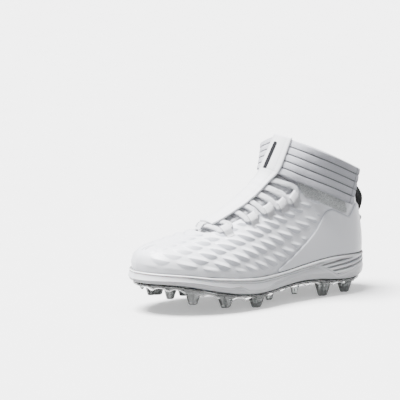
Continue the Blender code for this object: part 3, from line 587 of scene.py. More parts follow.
def line_finish(name, colour, line, pitch, depth, sheen):
    """Woven cloth with darker lines where the piece says so."""
    f = Finish(name, colour, 0.85)
    warp, weft = f.ribs(f.across, pitch), f.ribs(f.along, pitch * 1.3)
    over = f.value("ABSOLUTE", f.value("SUBTRACT", warp, weft))
    base = f.blend(over, shade(colour, 0.76), shade(colour, 1.08))
    base = f.blend(f.noise(0.012), base, f.blend(1.0, base, (0.95, 0.955, 0.97), "MULTIPLY"))
    f.colour(f.blend(f.attribute("line"), base, line))
    f.roughness(f.noise(0.0009), 0.72, 0.92)
    f.bump(over, depth, 0.9)
    f.bump(f.noise(0.0006), 0.00008, 0.6)
    f.set(Sheen_Weight=sheen, Sheen_Roughness=0.4, Specular_IOR_Level=0.25)
    return f


def tongue_finish(name, colour):
    """Soft quilted knit with darker lines between its cross ribs."""
    return line_finish(name, shade(colour, 0.97), shade(colour, 0.42), 0.0012, 0.0003, 0.3).material


def strap_finish(name, colour, line):
    """Coarse woven strap cloth with thin dark lines between its bands."""
    return line_finish(name, colour, line, 0.0015, 0.00055, 0.25).material


def strip_finish(name, colour):
    """Smooth coated cloth with rows of faint stitch holes."""
    f = Finish(name, colour, 0.6)
    base = f.blend(f.noise(0.02), shade(colour, 0.97), shade(colour, 1.02))
    f.colour(f.blend(f.attribute("line"), base, shade(colour, 0.55)))
    f.roughness(f.noise(0.003), 0.5, 0.66)
    f.bump(f.ribs(f.across, 0.0007), 0.00005, 0.5)
    f.bump(f.noise(0.0012), 0.00008, 0.5)
    f.set(Sheen_Weight=0.1, Sheen_Roughness=0.4, Specular_IOR_Level=0.35)
    return f.material


def print_finish(name, colour):
    """Thin rubbery print, faintly mottled."""
    f = Finish(name, colour, 0.5)
    f.colour(f.blend(f.noise(0.004), colour, shade(colour, 1.6)))
    f.roughness(f.noise(0.002), 0.6, 0.8)
    f.bump(f.noise(0.0012), 0.00005, 0.5)
    f.set(Specular_IOR_Level=0.12)
    return f.material


# ---- settings ----


def length(label, text, default, low=0.0, high=0.1):
    return FloatProperty(
        name=label, description=text, default=default, min=low, max=high, unit="LENGTH")


def paint(label, text, default):
    return FloatVectorProperty(
        name=label, description=text, default=default, subtype="COLOR", min=0, max=1)


class CleatColours(bpy.types.PropertyGroup):
    skin: paint("Skin", "Moulded upper", (0.86, 0.868, 0.895))
    panel: paint("Heel panel", "Smooth panel over the heel", (0.83, 0.838, 0.872))
    cloth: paint("Cloth", "Strip, tab, laces and loops", (0.86, 0.865, 0.89))
    strap: paint("Strap", "Woven ankle strap", (0.80, 0.805, 0.86))
    groove: paint("Strap lines", "Thin dark lines between the strap's bands", (0.06, 0.06, 0.07))
    knit: paint("Knit", "Padded cuff and lining", (0.72, 0.73, 0.76))
    fleece: paint("Fleece", "Fastening patch", (0.66, 0.68, 0.68))
    foam: paint("Foam", "Midsole", (0.90, 0.905, 0.925))
    clear: paint("Clear sole", "Smoky clear plate and studs", (0.27, 0.285, 0.28))
    black: paint("Black", "Pull loop and plain bars", (0.012, 0.012, 0.014))
    floor: paint("Floor", "Floor and backdrop", (0.82, 0.82, 0.82))


class CleatSkin(bpy.types.PropertyGroup):
    pod_pitch: length("Pod pitch", "From one raised pod to the next along the foot", 0.0280)
    pod_row: length("Pod row", "From one row of pods to the next", 0.0095)
    pod_height: length("Pod height", "Height of the pods' crests", 0.0024)
    pod_slant: FloatProperty(
        name="Pod slant", description="Fall of the pods towards the heel", default=math.radians(26),
        subtype="ANGLE")
    columns: IntProperty(
        name="Columns", description="Mesh columns round each side", default=430, min=60)
    rows: IntProperty(name="Rows", description="Mesh rows up the side", default=110, min=20)


class CleatCloth(bpy.types.PropertyGroup):
    lace_width: length("Lace width", "Width of the flat lace", 0.0064)
    lace_thickness: length("Lace thickness", "Thickness of the lace", 0.0034)
    loop_width: length("Loop width", "Width of a webbing loop", 0.0104)
    loop_reach: length("Loop reach", "Length of a webbing loop beyond the lace", 0.0075)
    strip_width: length("Strip width", "Width of the strip and tab", 0.0240)
    bands: IntProperty(name="Strap bands", description="Ribbed bands of the strap", default=5, min=1)


class CleatSole(bpy.types.PropertyGroup):
    lip: length("Lip", "How far the midsole stands out from the upper", 0.0030)
    plate: length("Plate", "Thickness of the clear plate", 0.0035)
    stud_length: length("Stud length", "Stud's length at its top, along the foot", 0.0210)
    stud_width: length("Stud width", "Stud's width at its top", 0.0150)
    flute: FloatProperty(
        name="Flute", description="Depth of a stud's flutes, of its width", default=0.20)


class CleatStage(bpy.types.PropertyGroup):
    azimuth: FloatProperty(
        name="Azimuth", description="Camera's turn from the outer side towards the toe",
        default=math.radians(-35), subtype="ANGLE")
    elevation: FloatProperty(
        name="Elevation", description="Camera's height angle", default=math.radians(10),
        subtype="ANGLE")
    distance: length("Distance", "Camera's distance", 5.0, 0.2, 20)
    key: FloatProperty(name="Key", description="Strength of the main light", default=18.5, min=0)
    sky: FloatProperty(name="Sky", description="Light from above", default=0.8, min=0)
    level: FloatProperty(name="Level", description="Light from all round", default=0.20, min=0)
    glow: FloatProperty(
        name="Glow", description="Floor's own light, which softens the shadow", default=0.45, min=0)
    ground: FloatProperty(name="Ground", description="Light from below", default=1.0, min=0)
    lens: FloatProperty(name="Lens", description="Focal length", default=398.3, min=10, unit="CAMERA")


def settings(name):
    """One group of the scene's sizes or colours."""
    return getattr(bpy.context.scene, name)


# ---- finishes by name ----


def finish(name):
    """The named finish, made once from the chosen colours."""
    made = bpy.data.materials.get(name)
    if made:
        return made
    c = {key: tuple(getattr(settings("cleat_colours"), key)) for key in CleatColours.__annotations__}
    makers = {
        "moulded_skin": lambda n: skin_finish(n, c["skin"]),
        "smooth_panel": lambda n: skin_finish(n, c["panel"]),
        "smooth_strip": lambda n: strip_finish(n, c["cloth"]),
        "lace_weave": lambda n: weave_finish(n, c["cloth"], 0.0009, 0.00025),
        "loop_webbing": lambda n: webbing_finish(n, shade(c["cloth"], 0.93), 0.0011, 0.0003),
        "strap_weave": lambda n: strap_finish(n, c["strap"], c["groove"]),
        "knit": lambda n: knit_finish(n, c["knit"]),
        "tongue_knit": lambda n: tongue_finish(n, c["cloth"]),
        "fleece_pile": lambda n: fleece_finish(n, c["fleece"]),
        "sole_foam": lambda n: foam_finish(n, c["foam"], shade(c["foam"], 0.80)),
        "insole_foam": lambda n: foam_finish(n, shade(c["foam"], 0.9), shade(c["foam"], 0.9)),
        "smoky_clear": lambda n: clear_finish(n, c["clear"]),
        "black_webbing": lambda n: webbing_finish(n, c["black"], 0.0012, 0.0004),
        "black_print": lambda n: print_finish(n, c["black"]),
    }
    return makers[name](name)


# ---- upper ----


# Diagonal seam in front of the heel panel: its lowest row and v, and its rise in v for each row
SEAM_FROM, SEAM_LOW, SEAM_RISE = 9.2, 0.02, 0.08
SKIN_WALL = 0.0022
RIM_DROP, RIM_RUN = 0.0009, 0.0016  # how the skin rolls in at the throat and collar
POD_FLOOR = 1e-5  # keeps a pod's depth above zero

# Toe cap's moulded line: its row at the centre line, and how far back it sweeps down the side
CAP_ROW, CAP_SWEEP, CAP_REACH = 4.6, 2.7, 0.045
CAP_DEPTH = 0.0004


def seam_row(v):
    """Row of the diagonal seam at a height up the side."""
    return SEAM_FROM + (np.asarray(v) - SEAM_LOW) / SEAM_RISE


def ring_stations(count):
    """Rows and sides visited round the shoe: outer side from heel to toe, inner side back."""
    return out_and_back(np.linspace(LAST_ROW, 0, count + 1), closed=True)


def pods(along, height, size, skew, pitch, row):
    """Field of raised pods, and how much of each point lies on a pod's lower facet.

    A pod is a long leaf: a crisp crest, a gentle slope above it and a flat facet below it.
    """
    field = np.zeros(np.broadcast(along, height).shape)
    facet = np.zeros(field.shape)
    nearest = np.round(height / row)
    half, below_crest, above_crest = 0.40 * pitch * size, 0.66 * row * size, 0.50 * row * size
    for step in (-1, 0, 1):
        line = nearest + step
        shift = np.mod(line, 2) * 0.5
        for hop in (-1, 0, 1):
            post = np.round(along / pitch - shift) + hop
            a = (along - (post + shift) * pitch) / half
            below = line * row - height
            leaf = np.clip(1 - a**2, 0, 1)
            depth = below_crest * leaf * (1 + skew * a) + POD_FLOOR
            under = np.clip(1 - below / depth, 0, 1)
            over = np.clip(1 + below / above_crest, 0, 1) ** 1.3
            rise = leaf**0.8 * size * np.where(below > 0, under, over)
            facet = np.where(rise > field, (below > 0) * smooth(rise, 0.0, 0.15), facet)
            field = np.maximum(field, rise)
    return field, facet


def upper_limits(u, side):
    """The v where the upper ends on each rib: the centre line, the throat or the cuff."""
    edge = v_at_distance(u, side, throat_half_width(u))
    edge = np.where(u <= THROAT_START, 1.0, edge)
    return np.where(u > CUFF_FROM, np.minimum(edge, CUFF_LOW), edge)


def upper_distances(u, grid):
    """Distances over the skin from the toe tip, from the sole's edge and from the top edge."""
    middle = grid[int(grid.shape[0] * 0.4)]
    steps = np.linalg.norm(np.roll(middle, -1, axis=0) - middle, axis=1)
    run = np.concatenate([[0], np.cumsum(steps)[:-1]])
    drops = np.linalg.norm(np.diff(grid, axis=0), axis=2)
    from_edge = np.vstack([np.zeros(grid.shape[1]), np.cumsum(drops, axis=0)])
    return np.abs(run - run[np.argmin(u)])[None, :], from_edge, from_edge[-1][None, :] - from_edge


def pods_kept(rows_u, v, height, along, from_edge, from_throat):
    """How much of the pods' relief is kept, from 0 to 1: they fade out towards every edge."""
    near_throat = np.where(
        rows_u > THROAT_START, smooth(from_throat, 0.002, 0.006), smooth(from_throat, 0.006, 0.020))
    toe = (0.45 + 0.55 * smooth(along, 0.03, 0.09)) * smooth(along, 0.002, 0.03)
    seam = smooth(seam_row(v) - rows_u, 0.05, 0.45)
    collar = smooth(0.128 - height, 0.0, 0.012) * (1 - smooth(rows_u, 14.3, 15.0))
    return smooth(from_edge, 0.003, 0.010) * near_throat * seam * toe * collar


def upper_relief(u, v, grid):
    """Relief of the moulded skin in metres, and a painted shade tone from 0 (painted shade on the pods'
    lower facets and in the cap line) to 1 (painted highlight on crests).
    """
    sizes = settings("cleat_skin")
    along, from_edge, from_throat = upper_distances(u, grid)
    rows_u = np.broadcast_to(u[None, :], v.shape)
    reach = np.linspace(0, 0.5, 501)
    slope = math.tan(sizes.pod_slant) * (0.28 + 0.72 * smooth(reach, 0.06, 0.17))
    fall = np.interp(along, reach, np.concatenate([[0], np.cumsum(slope[:-1]) * reach[1]]))
    size = 1 - 0.30 * smooth(rows_u, 9.2, 12.5)
    size = size * np.where(rows_u > THROAT_START, 0.65 + 0.35 * smooth(from_throat, 0.004, 0.016), 1)
    skew = 0.45 * smooth(rows_u, 7.0, 10.0)
    field, facet = pods(along, from_edge + fall, size, skew, sizes.pod_pitch, sizes.pod_row)
    keep = pods_kept(rows_u, v, grid[..., 2], along, from_edge, from_throat)
    cap = CAP_ROW + CAP_SWEEP * (from_throat / CAP_REACH) ** 1.2
    on_line = bell(cap - rows_u, 0.06) * smooth(CAP_REACH + 0.005 - from_throat, 0.0, 0.010)
    on_line = on_line * smooth(rows_u, 3.5, 4.5) * (rows_u < 8)
    relief = sizes.pod_height * field * keep - CAP_DEPTH * on_line
    # painted light: lighter on crests, darker on the pods' lower facets and in the cap line
    painted_shade_tone = 0.65 + 0.35 * field * keep - 0.65 * facet * keep - 0.40 * on_line
    return relief, painted_shade_tone


def upper_grid(columns, rows):
    """The upper's rows, heights, points and normals, and which columns end on the centre line."""
    u, side = ring_stations(columns)
    v = np.linspace(0, 1, rows + 1)[:, None] * upper_limits(u, side)[None, :]
    base, normal = surface(u[None, :], v, side[None, :])
    ridge = u <= THROAT_START
    normal[-1][ridge] = unit(normal[-1] + last_normal(u, 1.0, -side))[ridge]
    return u, v, base, normal, ridge


def build_upper(look):
    """Moulded skin with raised pods, rolled in at the throat and collar."""
    sizes = settings("cleat_skin")
    u, v, base, normal, ridge = upper_grid(sizes.columns, sizes.rows)
    relief, painted_shade_tone = upper_relief(u, v, base)
    roll = RIM_DROP * (1 - smooth(np.linalg.norm(base - base[-1][None], axis=2), 0.0, RIM_RUN))
    roll = np.where(ridge[None, :], 0.0, roll)
    grid = base + normal * (relief - roll)[..., None]
    edge_in = base[-1] - normal[-1] * SKIN_WALL
    edge_in[ridge] = grid[-1][ridge]
    outer = np.vstack([grid, edge_in[None]])
    piece = sheet_piece("moulded_upper", outer, look, closed=True)
    # the painted shade and highlight go to the finish as the relief value
    paint_attribute(piece, "relief", painted_shade_tone, outer)
    return piece


def build_lining(look):
    """Knit lining inside the upper, meeting its rolled edges."""
    base, normal = upper_grid(90, 24)[2:4]
    return sheet_piece("upper_lining", base - normal * SKIN_WALL, look, closed=True)


def paint_attribute(piece, name, values, grid):
    """Stores a value at each point, found again by place after the mesh was welded."""
    rows = values.shape[0]
    flat = grid[:rows].reshape(-1, 3)
    tree = KDTree(len(flat))
    for k, p in enumerate(flat):
        tree.insert(p, k)
    tree.balance()
    made = piece.data.attributes.new(name, "FLOAT", "POINT")
    kept = values.ravel()
    made.data.foreach_set("value", [float(kept[tree.find(p.co)[1]]) for p in piece.data.vertices])


# ---- places over the throat and round the ankle ----


def over_ridge(u, offset, lift):
    """A point a distance over the surface from the centre line; the outer side is negative."""
    u, offset = np.broadcast_arrays(np.asarray(u, float), offset)
    side = np.where(offset < 0, LATERAL, MEDIAL)
    v = v_at_distance(u, side, np.abs(offset))
    normal = ridge_normal(u, v, side, np.abs(offset))
    return last_point(u, v, side) + normal * np.asarray(lift)[..., None]


def ridge_normal(u, v, side, distance):
    """The surface's normal, with the centre line's crease rounded off."""
    here, there = last_normal(u, v, side), last_normal(u, v, -side)
    share = (0.5 + 0.5 * smooth(distance, 0.0, 0.007))[..., None]
    return unit(here * share + there * (1 - share))


def resample(grid, rows, closed=False):
    """More rows along the first axis of a grid, on a smooth curve through its own."""
    count = len(grid)
    t = np.linspace(0, count if closed else count - 1, rows, endpoint=not closed)
    i = np.minimum(t.astype(int), count - 1 if closed else count - 2)
    f = (t - i).reshape((-1,) + (1,) * (grid.ndim - 1))
    picks = [i + k for k in (-1, 0, 1, 2)]
    picks = [p % count if closed else np.clip(p, 0, count - 1) for p in picks]
    return curve(*(grid[p] for p in picks), f)


def run_along(line):
    """Distance along a line of points, as a column."""
    steps = np.linalg.norm(np.diff(line, axis=0), axis=1)
    return np.concatenate([[0], np.cumsum(steps)])[:, None]


def grid_normals(grid, outward):
    """Unit normals of a grid of points, all turned to the given rough directions."""
    along = np.gradient(grid, axis=1)
    down = np.gradient(grid, axis=0)
    normal = unit(np.cross(along, down))
    flip = np.sign(np.sum(normal * outward, axis=-1, keepdims=True))
    return normal * np.where(flip == 0, 1, flip)


STRAP_BACK = Vector((math.cos(STRAP_TILT), 0, -math.sin(STRAP_TILT)))
STRAP_UP = Vector((math.sin(STRAP_TILT), 0, math.cos(STRAP_TILT)))
STRAP_SWEEP = (24, 322)  # degrees round the ankle that are measured
STRAP_STEP = 2
EVEN_OVER = (-4, -2, 0, 2, 4)  # neighbours that a line is evened with
STRAP_NARROW_FROM, STRAP_NARROW_RUN = 178.0, 38.0  # degrees over which its lower edge rises
COLLAR_CARRY = 0.035  # how far the last is carried on past the collar for the strap


def ankle_tree():
    """Ray target: the whole last, with its top line carried on past the collar."""
    rows = np.concatenate([np.arange(LAST_ROW, 6.4, -0.5), np.arange(6, -0.5, -1)])
    u, side = out_and_back(rows, closed=True)
    v = np.linspace(0, 1, 13)[:, None]
    grid = last_point(u[None, :], v, side[None, :])
    carry = grid[-1] + np.array(STRAP_UP) * np.where(u > 12.4, COLLAR_CARRY, 0.0)[:, None]
    grid = np.concatenate([grid, carry[None]])
    return BVHTree.FromPolygons(grid.reshape(-1, 3).tolist(), grid_faces(len(grid), len(u), True))


def strap_lines():
    """For angles all round: the strap's radius at its middle and its slope across the width."""
    tree = ankle_tree()
    angles = np.arange(*STRAP_SWEEP, float(STRAP_STEP))
    heights = np.linspace(-STRAP_WIDTH / 2, STRAP_WIDTH / 2, 7)
    lines = []
    for angle in np.radians(angles):
        way = STRAP_BACK * math.cos(angle) + Vector((0, 1, 0)) * math.sin(angle)
        radii = []
        for height in heights:
            hit = tree.ray_cast(STRAP_CENTRE + STRAP_UP * float(height), way)
            if hit[0] is None:
                raise ValueError("the strap misses the ankle")
            radii.append(hit[3])
        slope, middle = np.polyfit(heights, radii, 1)
        lines.append((middle + max(np.array(radii) - (middle + slope * heights)), slope))
    lines = np.array(lines)
    evened = sum(np.roll(lines, k, axis=0) for k in EVEN_OVER) / len(EVEN_OVER)
    spare = EVEN_OVER[-1]
    return angles[spare:-spare], evened[spare:-spare]


STRAP_ANGLES, STRAP_LINES = strap_lines()


def strap_point(angle, height, lift):
    """A point on the strap. Angle 0 is at the heel, 180 the front, 270 the outer side."""
    angle, height, lift = np.broadcast_arrays(np.asarray(angle, float), height, lift)
    narrow = 1 - STRAP_NARROWING * smooth(STRAP_NARROW_FROM - angle, 0.0, STRAP_NARROW_RUN)
    height = -STRAP_WIDTH / 2 + (height + STRAP_WIDTH / 2) * narrow
    corner = STRAP_CORNER + STRAP_CORNER_FLARE * height / (STRAP_WIDTH / 2)
    corner = corner * bell(angle - STRAP_CORNER_AT, STRAP_CORNER_SPREAD)
    middle = np.interp(angle, STRAP_ANGLES, STRAP_LINES[:, 0]) + corner
    slope = np.interp(angle, STRAP_ANGLES, STRAP_LINES[:, 1])
    turn = np.radians(angle)[..., None]
    way = np.array(STRAP_BACK) * np.cos(turn) + np.array((0, 1, 0)) * np.sin(turn)
    radius = (middle + slope * height + lift)[..., None]
    return np.array(STRAP_CENTRE) + np.array(STRAP_UP) * height[..., None] + way * radius


def v_at_strap_height(u, side, height):
    """The v at which each rib reaches a height measured across the strap."""
    low, high = np.zeros(np.shape(u)), np.ones(np.shape(u))
    for _ in range(HALVINGS):
        v = (low + high) / 2
        reached = (last_point(u, v, side) - np.array(STRAP_CENTRE)) @ np.array(STRAP_UP) < height
        low, high = np.where(reached, v, low), np.where(reached, high, v)
    return low


# ---- heel panel, strap, patch, strip ----

# Fleece patch: its rows, how far it hangs below the strap and how far it runs up under it
PATCH_FROM, PATCH_TO = 12.3, 15.1
PATCH_DROP, PATCH_UNDER = 0.012, 0.012
PATCH_ROUND = 0.5
PATCH_BACKING, PILE_HEIGHT = 0.0006, 0.0005

# Heel panel: its lower edge in v, its thickness, the step at its edge, what it keeps clear of
PANEL_LOW = 0.008
PANEL_LIFT, PANEL_STEP, PANEL_BACK = 0.0008, 0.0009, 0.0004
PANEL_GAP, PANEL_UNDER_STRAP = 0.0014, 0.006

# Strap: angles it covers, its flap, grooves between bands, rolled edges and stitching
STRAP_FROM, STRAP_TO = 40, 302
FLAP = 0.0225
GROOVE_WIDTH, GROOVE_DEPTH = 0.00055, 0.0010
BAND_SWELL = 0.0004
STITCH_IN, STITCH_WIDTH, STITCH_DEPTH = 0.0062, 0.0006, 0.0005


def build_heel_panel(look):
    """Smooth panel over the heel, with a softly stepped edge and painted shade along it."""
    rows = np.concatenate([np.linspace(9.4, 17.2, 190), np.linspace(17.25, 18, 20)])
    u, side = out_and_back(rows)
    clear_of_patch = np.where(side == LATERAL, smooth(u, PATCH_TO - 0.3, PATCH_TO + 1.4), 1.0)
    lowered = -STRAP_WIDTH / 2 - PATCH_DROP - PANEL_GAP
    limit = lowered + (PANEL_UNDER_STRAP - STRAP_WIDTH / 2 - lowered) * clear_of_patch
    seam = SEAM_LOW + (u - SEAM_FROM) * SEAM_RISE
    high = np.minimum(seam, v_at_strap_height(u, side, limit))
    share = (0.5 - 0.5 * np.cos(np.linspace(0, np.pi, 44)))[:, None]
    v = PANEL_LOW + (high - PANEL_LOW)[None, :] * share
    base, normal = surface(u[None, :], v, side[None, :])
    from_top = np.linalg.norm(base - base[-1][None], axis=2)
    lift = PANEL_LIFT + PANEL_STEP * smooth(from_top, 0.0, 0.0022)
    outer = base + normal * lift[..., None]
    piece = shell_piece("smooth_heel_panel", outer, base + normal * PANEL_BACK, look)
    # painted shade: darker along the panel's stepped top edge
    paint_attribute(piece, "relief", 0.15 + 0.75 * smooth(from_top, 0.0003, 0.0016), outer)
    return piece


def build_strap(look):
    """Ribbed strap: bands divided by thin grooves, a bound edge and a stitched flap."""
    bands = settings("cleat_cloth").bands
    angles = np.linspace(STRAP_FROM, STRAP_TO, 200)
    share = np.linspace(0, 1, bands * 18 + 1)[:, None]
    heights = (share - 0.5) * STRAP_WIDTH
    across = np.mod(share * bands, 1.0)
    to_groove = np.minimum(across, 1 - across) / bands * STRAP_WIDTH
    inside = (share > 0.5 / bands) & (share < 1 - 0.5 / bands)
    groove = np.where(inside, bell(to_groove, GROOVE_WIDTH), 0.0)
    swell = BAND_SWELL * np.sin(np.pi * across) ** 0.7
    edge = np.minimum(share, 1 - share) * STRAP_WIDTH
    roll = 0.0010 * (1 - smooth(edge, 0.0, 0.0013))
    base = strap_point(angles[None, :], heights, STRAP_SEAT)
    run = np.linalg.norm(base[:, -1] - base[:, -2], axis=1)[:, None]
    way = (base[:, -1] - base[:, -2]) / run
    flap = np.linspace(0, FLAP, 26)[1:]
    base = np.concatenate([base, base[:, -1:] + way[:, None, :] * flap[None, :, None]], axis=1)
    normal = grid_normals(base, base - np.array(STRAP_CENTRE))
    to_end = np.concatenate([np.full(len(angles), 1.0), FLAP - flap])[None, :]
    stitch = bell(to_end - STITCH_IN, STITCH_WIDTH)
    ends = 0.0008 * (1 - smooth(to_end, 0.0, 0.0012))
    lift = STRAP_THICKNESS + swell - GROOVE_DEPTH * groove - roll - STITCH_DEPTH * stitch - ends
    outer = base + normal * lift[..., None]
    piece = shell_piece("woven_strap", outer, base, look)
    fade = np.where(to_end < STITCH_IN, 0.35, 1.0)
    paint_attribute(piece, "line", np.maximum(groove * fade, 0.55 * stitch), outer)
    return piece


def build_patch(look):
    """Fleece fastening patch: a low, uneven pile with one rounded end."""
    rows = np.linspace(PATCH_FROM, PATCH_TO, 70)
    low = v_at_strap_height(rows, LATERAL, -STRAP_WIDTH / 2 - PATCH_DROP)
    high = v_at_strap_height(rows, LATERAL, PATCH_UNDER - STRAP_WIDTH / 2)
    high = np.minimum(high, v_at_distance(rows, LATERAL, throat_half_width(rows) + EDGE_GAP))
    end = np.clip((rows - PATCH_TO) / PATCH_ROUND + 1, 0, 1)
    rounded = 1 - np.sqrt(np.clip(1 - end**2, 0, 1))
    middle = low + (high - low) * 0.45
    low = low + (middle - low) * rounded * 0.85
    share = np.linspace(0, 1, 36)[:, None]
    v = low[None, :] + (high - low)[None, :] * share
    base, normal = surface(rows[None, :], v, LATERAL)
    rng = np.random.default_rng(7)
    edge = np.minimum(np.minimum(share, 1 - share) * 8, 1)
    edge = edge * np.minimum((PATCH_TO - rows) * 4, 1)[None, :]
    pile = 0.0009 + edge * (0.0004 + PILE_HEIGHT * rng.random(v.shape))
    backing = base + normal * PATCH_BACKING
    return shell_piece("fleece_patch", base + normal * pile[..., None], backing, look)


# Strip and tab: rows of control points over the laces and over the strap, and finer rows
LACED_ROWS, TAB_ROWS, STRIP_STEPS = 14, 6, 150
COVER_GAP = 0.0007  # from one layer of cloth to the next
TAB_OVERHANG = 0.0021
STRIP_THICKNESS = 0.0016
STRIP_INWARD = np.array((0.06, 0, 0.02))  # a place inside the shoe, behind the strip

# Bar on the tab: half its width of the strip's half, rounded share of its half length, the rows
# that it covers of a finely divided strip, and how far its two faces stand over the strip's foot
BAR_HALF_SHARE, BAR_ROUND = 0.20, 0.12
BAR_FROM, BAR_TO, BAR_STEPS = 222, 284, 300
BAR_FOOT, BAR_TOP = 0.0014, 0.00195


def lace_lift():
    """Height of the lace's middle over the throat."""
    return 0.0003 + settings("cleat_cloth").lace_thickness / 2


def lace_top():
    """Height over the throat of what lies on the lace."""
    return lace_lift() + settings("cleat_cloth").lace_thickness / 2 + COVER_GAP


def strip_base(shares):
    """Control rows of the strip: up the laces, then on over the strap as a tab."""
    half = settings("cleat_cloth").strip_width / 2
    rows = np.linspace(STRIP_START, STRIP_TURN, LACED_ROWS)[:, None]
    turning = smooth(rows, STRIP_TURN - 1.0, STRIP_TURN + 0.5)
    reach = shares * np.where(shares > 0, 1 - (1 - TAB_INNER_SHARE) * turning, 1)
    low = over_ridge(rows, half * reach, np.full(reach.shape, lace_top()))
    over_strap = STRAP_SEAT + STRAP_THICKNESS + COVER_GAP
    above = STRAP_WIDTH / 2 + TAB_OVERHANG
    heights = np.linspace(-above, above, TAB_ROWS)[:, None]
    radius = np.linalg.norm(strap_point(180, 0, over_strap) - strap_point(40, 0, 0)) / 3
    kept = np.where(shares > 0, TAB_INNER_SHARE, 1.0) * shares
    high = strap_point(180 - np.degrees(half * kept / radius)[None, :], heights, over_strap)
    grid = np.concatenate([low, high])
    a, b = LACED_ROWS - 2, LACED_ROWS + 2
    for _ in range(2):
        grid[a:b] = (grid[a - 1:b - 1] + 2 * grid[a:b] + grid[a + 1:b + 1]) / 4
    return grid


def build_strip(look):
    """Smooth strip over the laces that carries on over the strap as a tab."""
    shares = np.linspace(-1, 1, 41)
    base = resample(strip_base(shares), STRIP_STEPS)
    normal = grid_normals(base, base - STRIP_INWARD)
    run = run_along(base[:, 20])
    side = np.abs(shares)[None, :]
    rim = 0.0005 * smooth(side, 0.74, 0.82) - 0.0007 * smooth(side, 0.95, 1.0)
    fine = np.linspace(0, LACED_ROWS + TAB_ROWS - 1, STRIP_STEPS)
    control = np.linspace(STRIP_START, STRIP_TURN, LACED_ROWS)
    laced = np.interp(np.arange(LACED_ROWS), fine, run[:, 0])
    swell = sum(bell(run - np.interp(row, control, laced), 0.0040) for _, row in LACE_ROWS)
    dots = bell(side - 0.66, 0.035) * (0.5 + 0.5 * np.sin(run * 2 * np.pi / 0.0032))
    tab_start = np.interp(LACED_ROWS + 0.2, fine, run[:, 0])
    dots = np.maximum(dots, bell(run - tab_start, 0.0007) * (side < 0.9))
    rim = rim - 0.0008 * (1 - smooth(np.minimum(run, run[-1] - run), 0.0, 0.0015))
    lift = STRIP_THICKNESS + rim + 0.0006 * swell - 0.00018 * dots
    outer = base + normal * lift[..., None]
    piece = shell_piece("coated_strip", outer, base, look, turn=True)
    paint_attribute(piece, "line", dots * 0.5 + 0.2 * bell(side - 0.78, 0.03), outer)
    return piece


def build_bar(look):
    """Plain dark rounded bar printed down the tab."""
    shares = np.linspace(-BAR_HALF_SHARE, BAR_HALF_SHARE, 13)
    base = resample(strip_base(shares), BAR_STEPS)[BAR_FROM:BAR_TO]
    normal = grid_normals(base, base - STRIP_INWARD)
    t = np.linspace(-1, 1, len(base))[:, None]
    narrow = np.sqrt(1 - np.clip((np.abs(t) - 1) / BAR_ROUND + 1, 0, 1) ** 2)
    middle = base[:, 6:7]
    base = middle + (base - middle) * np.maximum(narrow, 0.02)[..., None]
    return shell_piece("tab_bar", base + normal * BAR_TOP, base + normal * BAR_FOOT, look)


# ---- laces, loops, tongue, cuff ----


# Loops and keeper: from the throat's edge to the lace's middle, then thickness and half width
LOOP_HEM, LACE_IN_LOOP = 0.0018, 0.0029
LOOP_CLOTH, KEEPER_CLOTH = 0.0014, 0.0012
KEEPER_HALF, KEEPER_GAP = 0.0042, 0.0006
LACE_STEPS, CORD_SIDES = 220, 14


def loop_distance(u):
    """Distance of the lace's turn from the centre line, inside the webbing loops."""
    return throat_half_width(u) + EDGE_GAP + LOOP_HEM + LACE_IN_LOOP


def row_spacing(u, side):
    """Length along the lace's turn from one row to the next."""
    at = np.array((u - 0.2, u + 0.2))
    ends = last_point(at, v_at_distance(at, side, loop_distance(at)), side)
    return np.linalg.norm(ends[1] - ends[0]) / 0.4


def lace_turn(u_loop, u_middle):
    """Control points and normals of one lace turn: across the throat and back, both sides."""
    wide = LACE_SPREAD / row_spacing(u_loop, LATERAL)
    ridge = over_ridge(np.array((u_middle - 0.5, u_middle + 0.5)), 0.0, 0.0)
    narrow = LACE_SPREAD * 0.75 / np.linalg.norm(ridge[1] - ridge[0])
    turns = []
    for side, sign in ((LATERAL, -1), (MEDIAL, 1)):
        start, end = u_middle + sign * narrow, u_loop + sign * wide
        turns.append((start, 0.0, side))
        turns += [(start + (end - start) * s / 0.85, s, side) for s in (0.3, 0.6, 0.85)]
        turns += [(u_loop + sign * wide * s, 1.0, side) for s in (0.86, 0.3, -0.3, -0.86)]
        start, end = u_middle - sign * narrow, u_loop - sign * wide
        turns += [(start + (end - start) * s / 0.85, s, side) for s in (0.85, 0.6, 0.3)]
    u, share, side = (np.array(x) for x in zip(*turns))
    offset = side * loop_distance(u_loop) * share
    swell = 0.0005 * np.sin(np.pi * np.clip(share / 0.9, 0, 1))
    path = over_ridge(u, offset, lace_lift() + swell)
    v = v_at_distance(u, side, np.abs(offset))
    return path, ridge_normal(u, v, side, np.abs(offset))


def cord(path, normals, width, thickness, closed):
    """Rings of points of a flat cord with rounded edges along a path."""
    after = np.roll(path, -1, axis=0) if closed else np.gradient(path, axis=0) + path
    before = np.roll(path, 1, axis=0) if closed else path
    across = unit(np.cross(after - before, normals))
    t = np.linspace(0, 2 * np.pi, CORD_SIDES, endpoint=False)
    a, b = (
        np.sign(part) * np.abs(part) ** 0.75 * size / 2
        for part, size in ((np.cos(t), width), (np.sin(t), thickness))
    )
    return path[:, None] + across[:, None] * a[None, :, None] + normals[:, None] * b[None, :, None]


def cord_piece(name, grids, look, closed):
    """One mesh of several cords, each a grid of rings."""
    points, uv, faces, start = [], [], [], 0
    for grid in grids:
        rings, around = grid.shape[:2]
        points.append(grid.reshape(-1, 3))
        uv.append(grid_uv(grid, turn=True))
        for i in range(rings if closed else rings - 1):
            for j in range(around):
                a, b = start + i * around, start + (i + 1) % rings * around
                faces.append((a + j, a + (j + 1) % around, b + (j + 1) % around, b + j))
        if not closed:
            faces.append(tuple(start + j for j in range(around)))
            faces.append(tuple(start + (rings - 1) * around + j for j in reversed(range(around))))
        start += rings * around
    return mesh_piece(name, np.concatenate(points), faces, look, np.concatenate(uv))


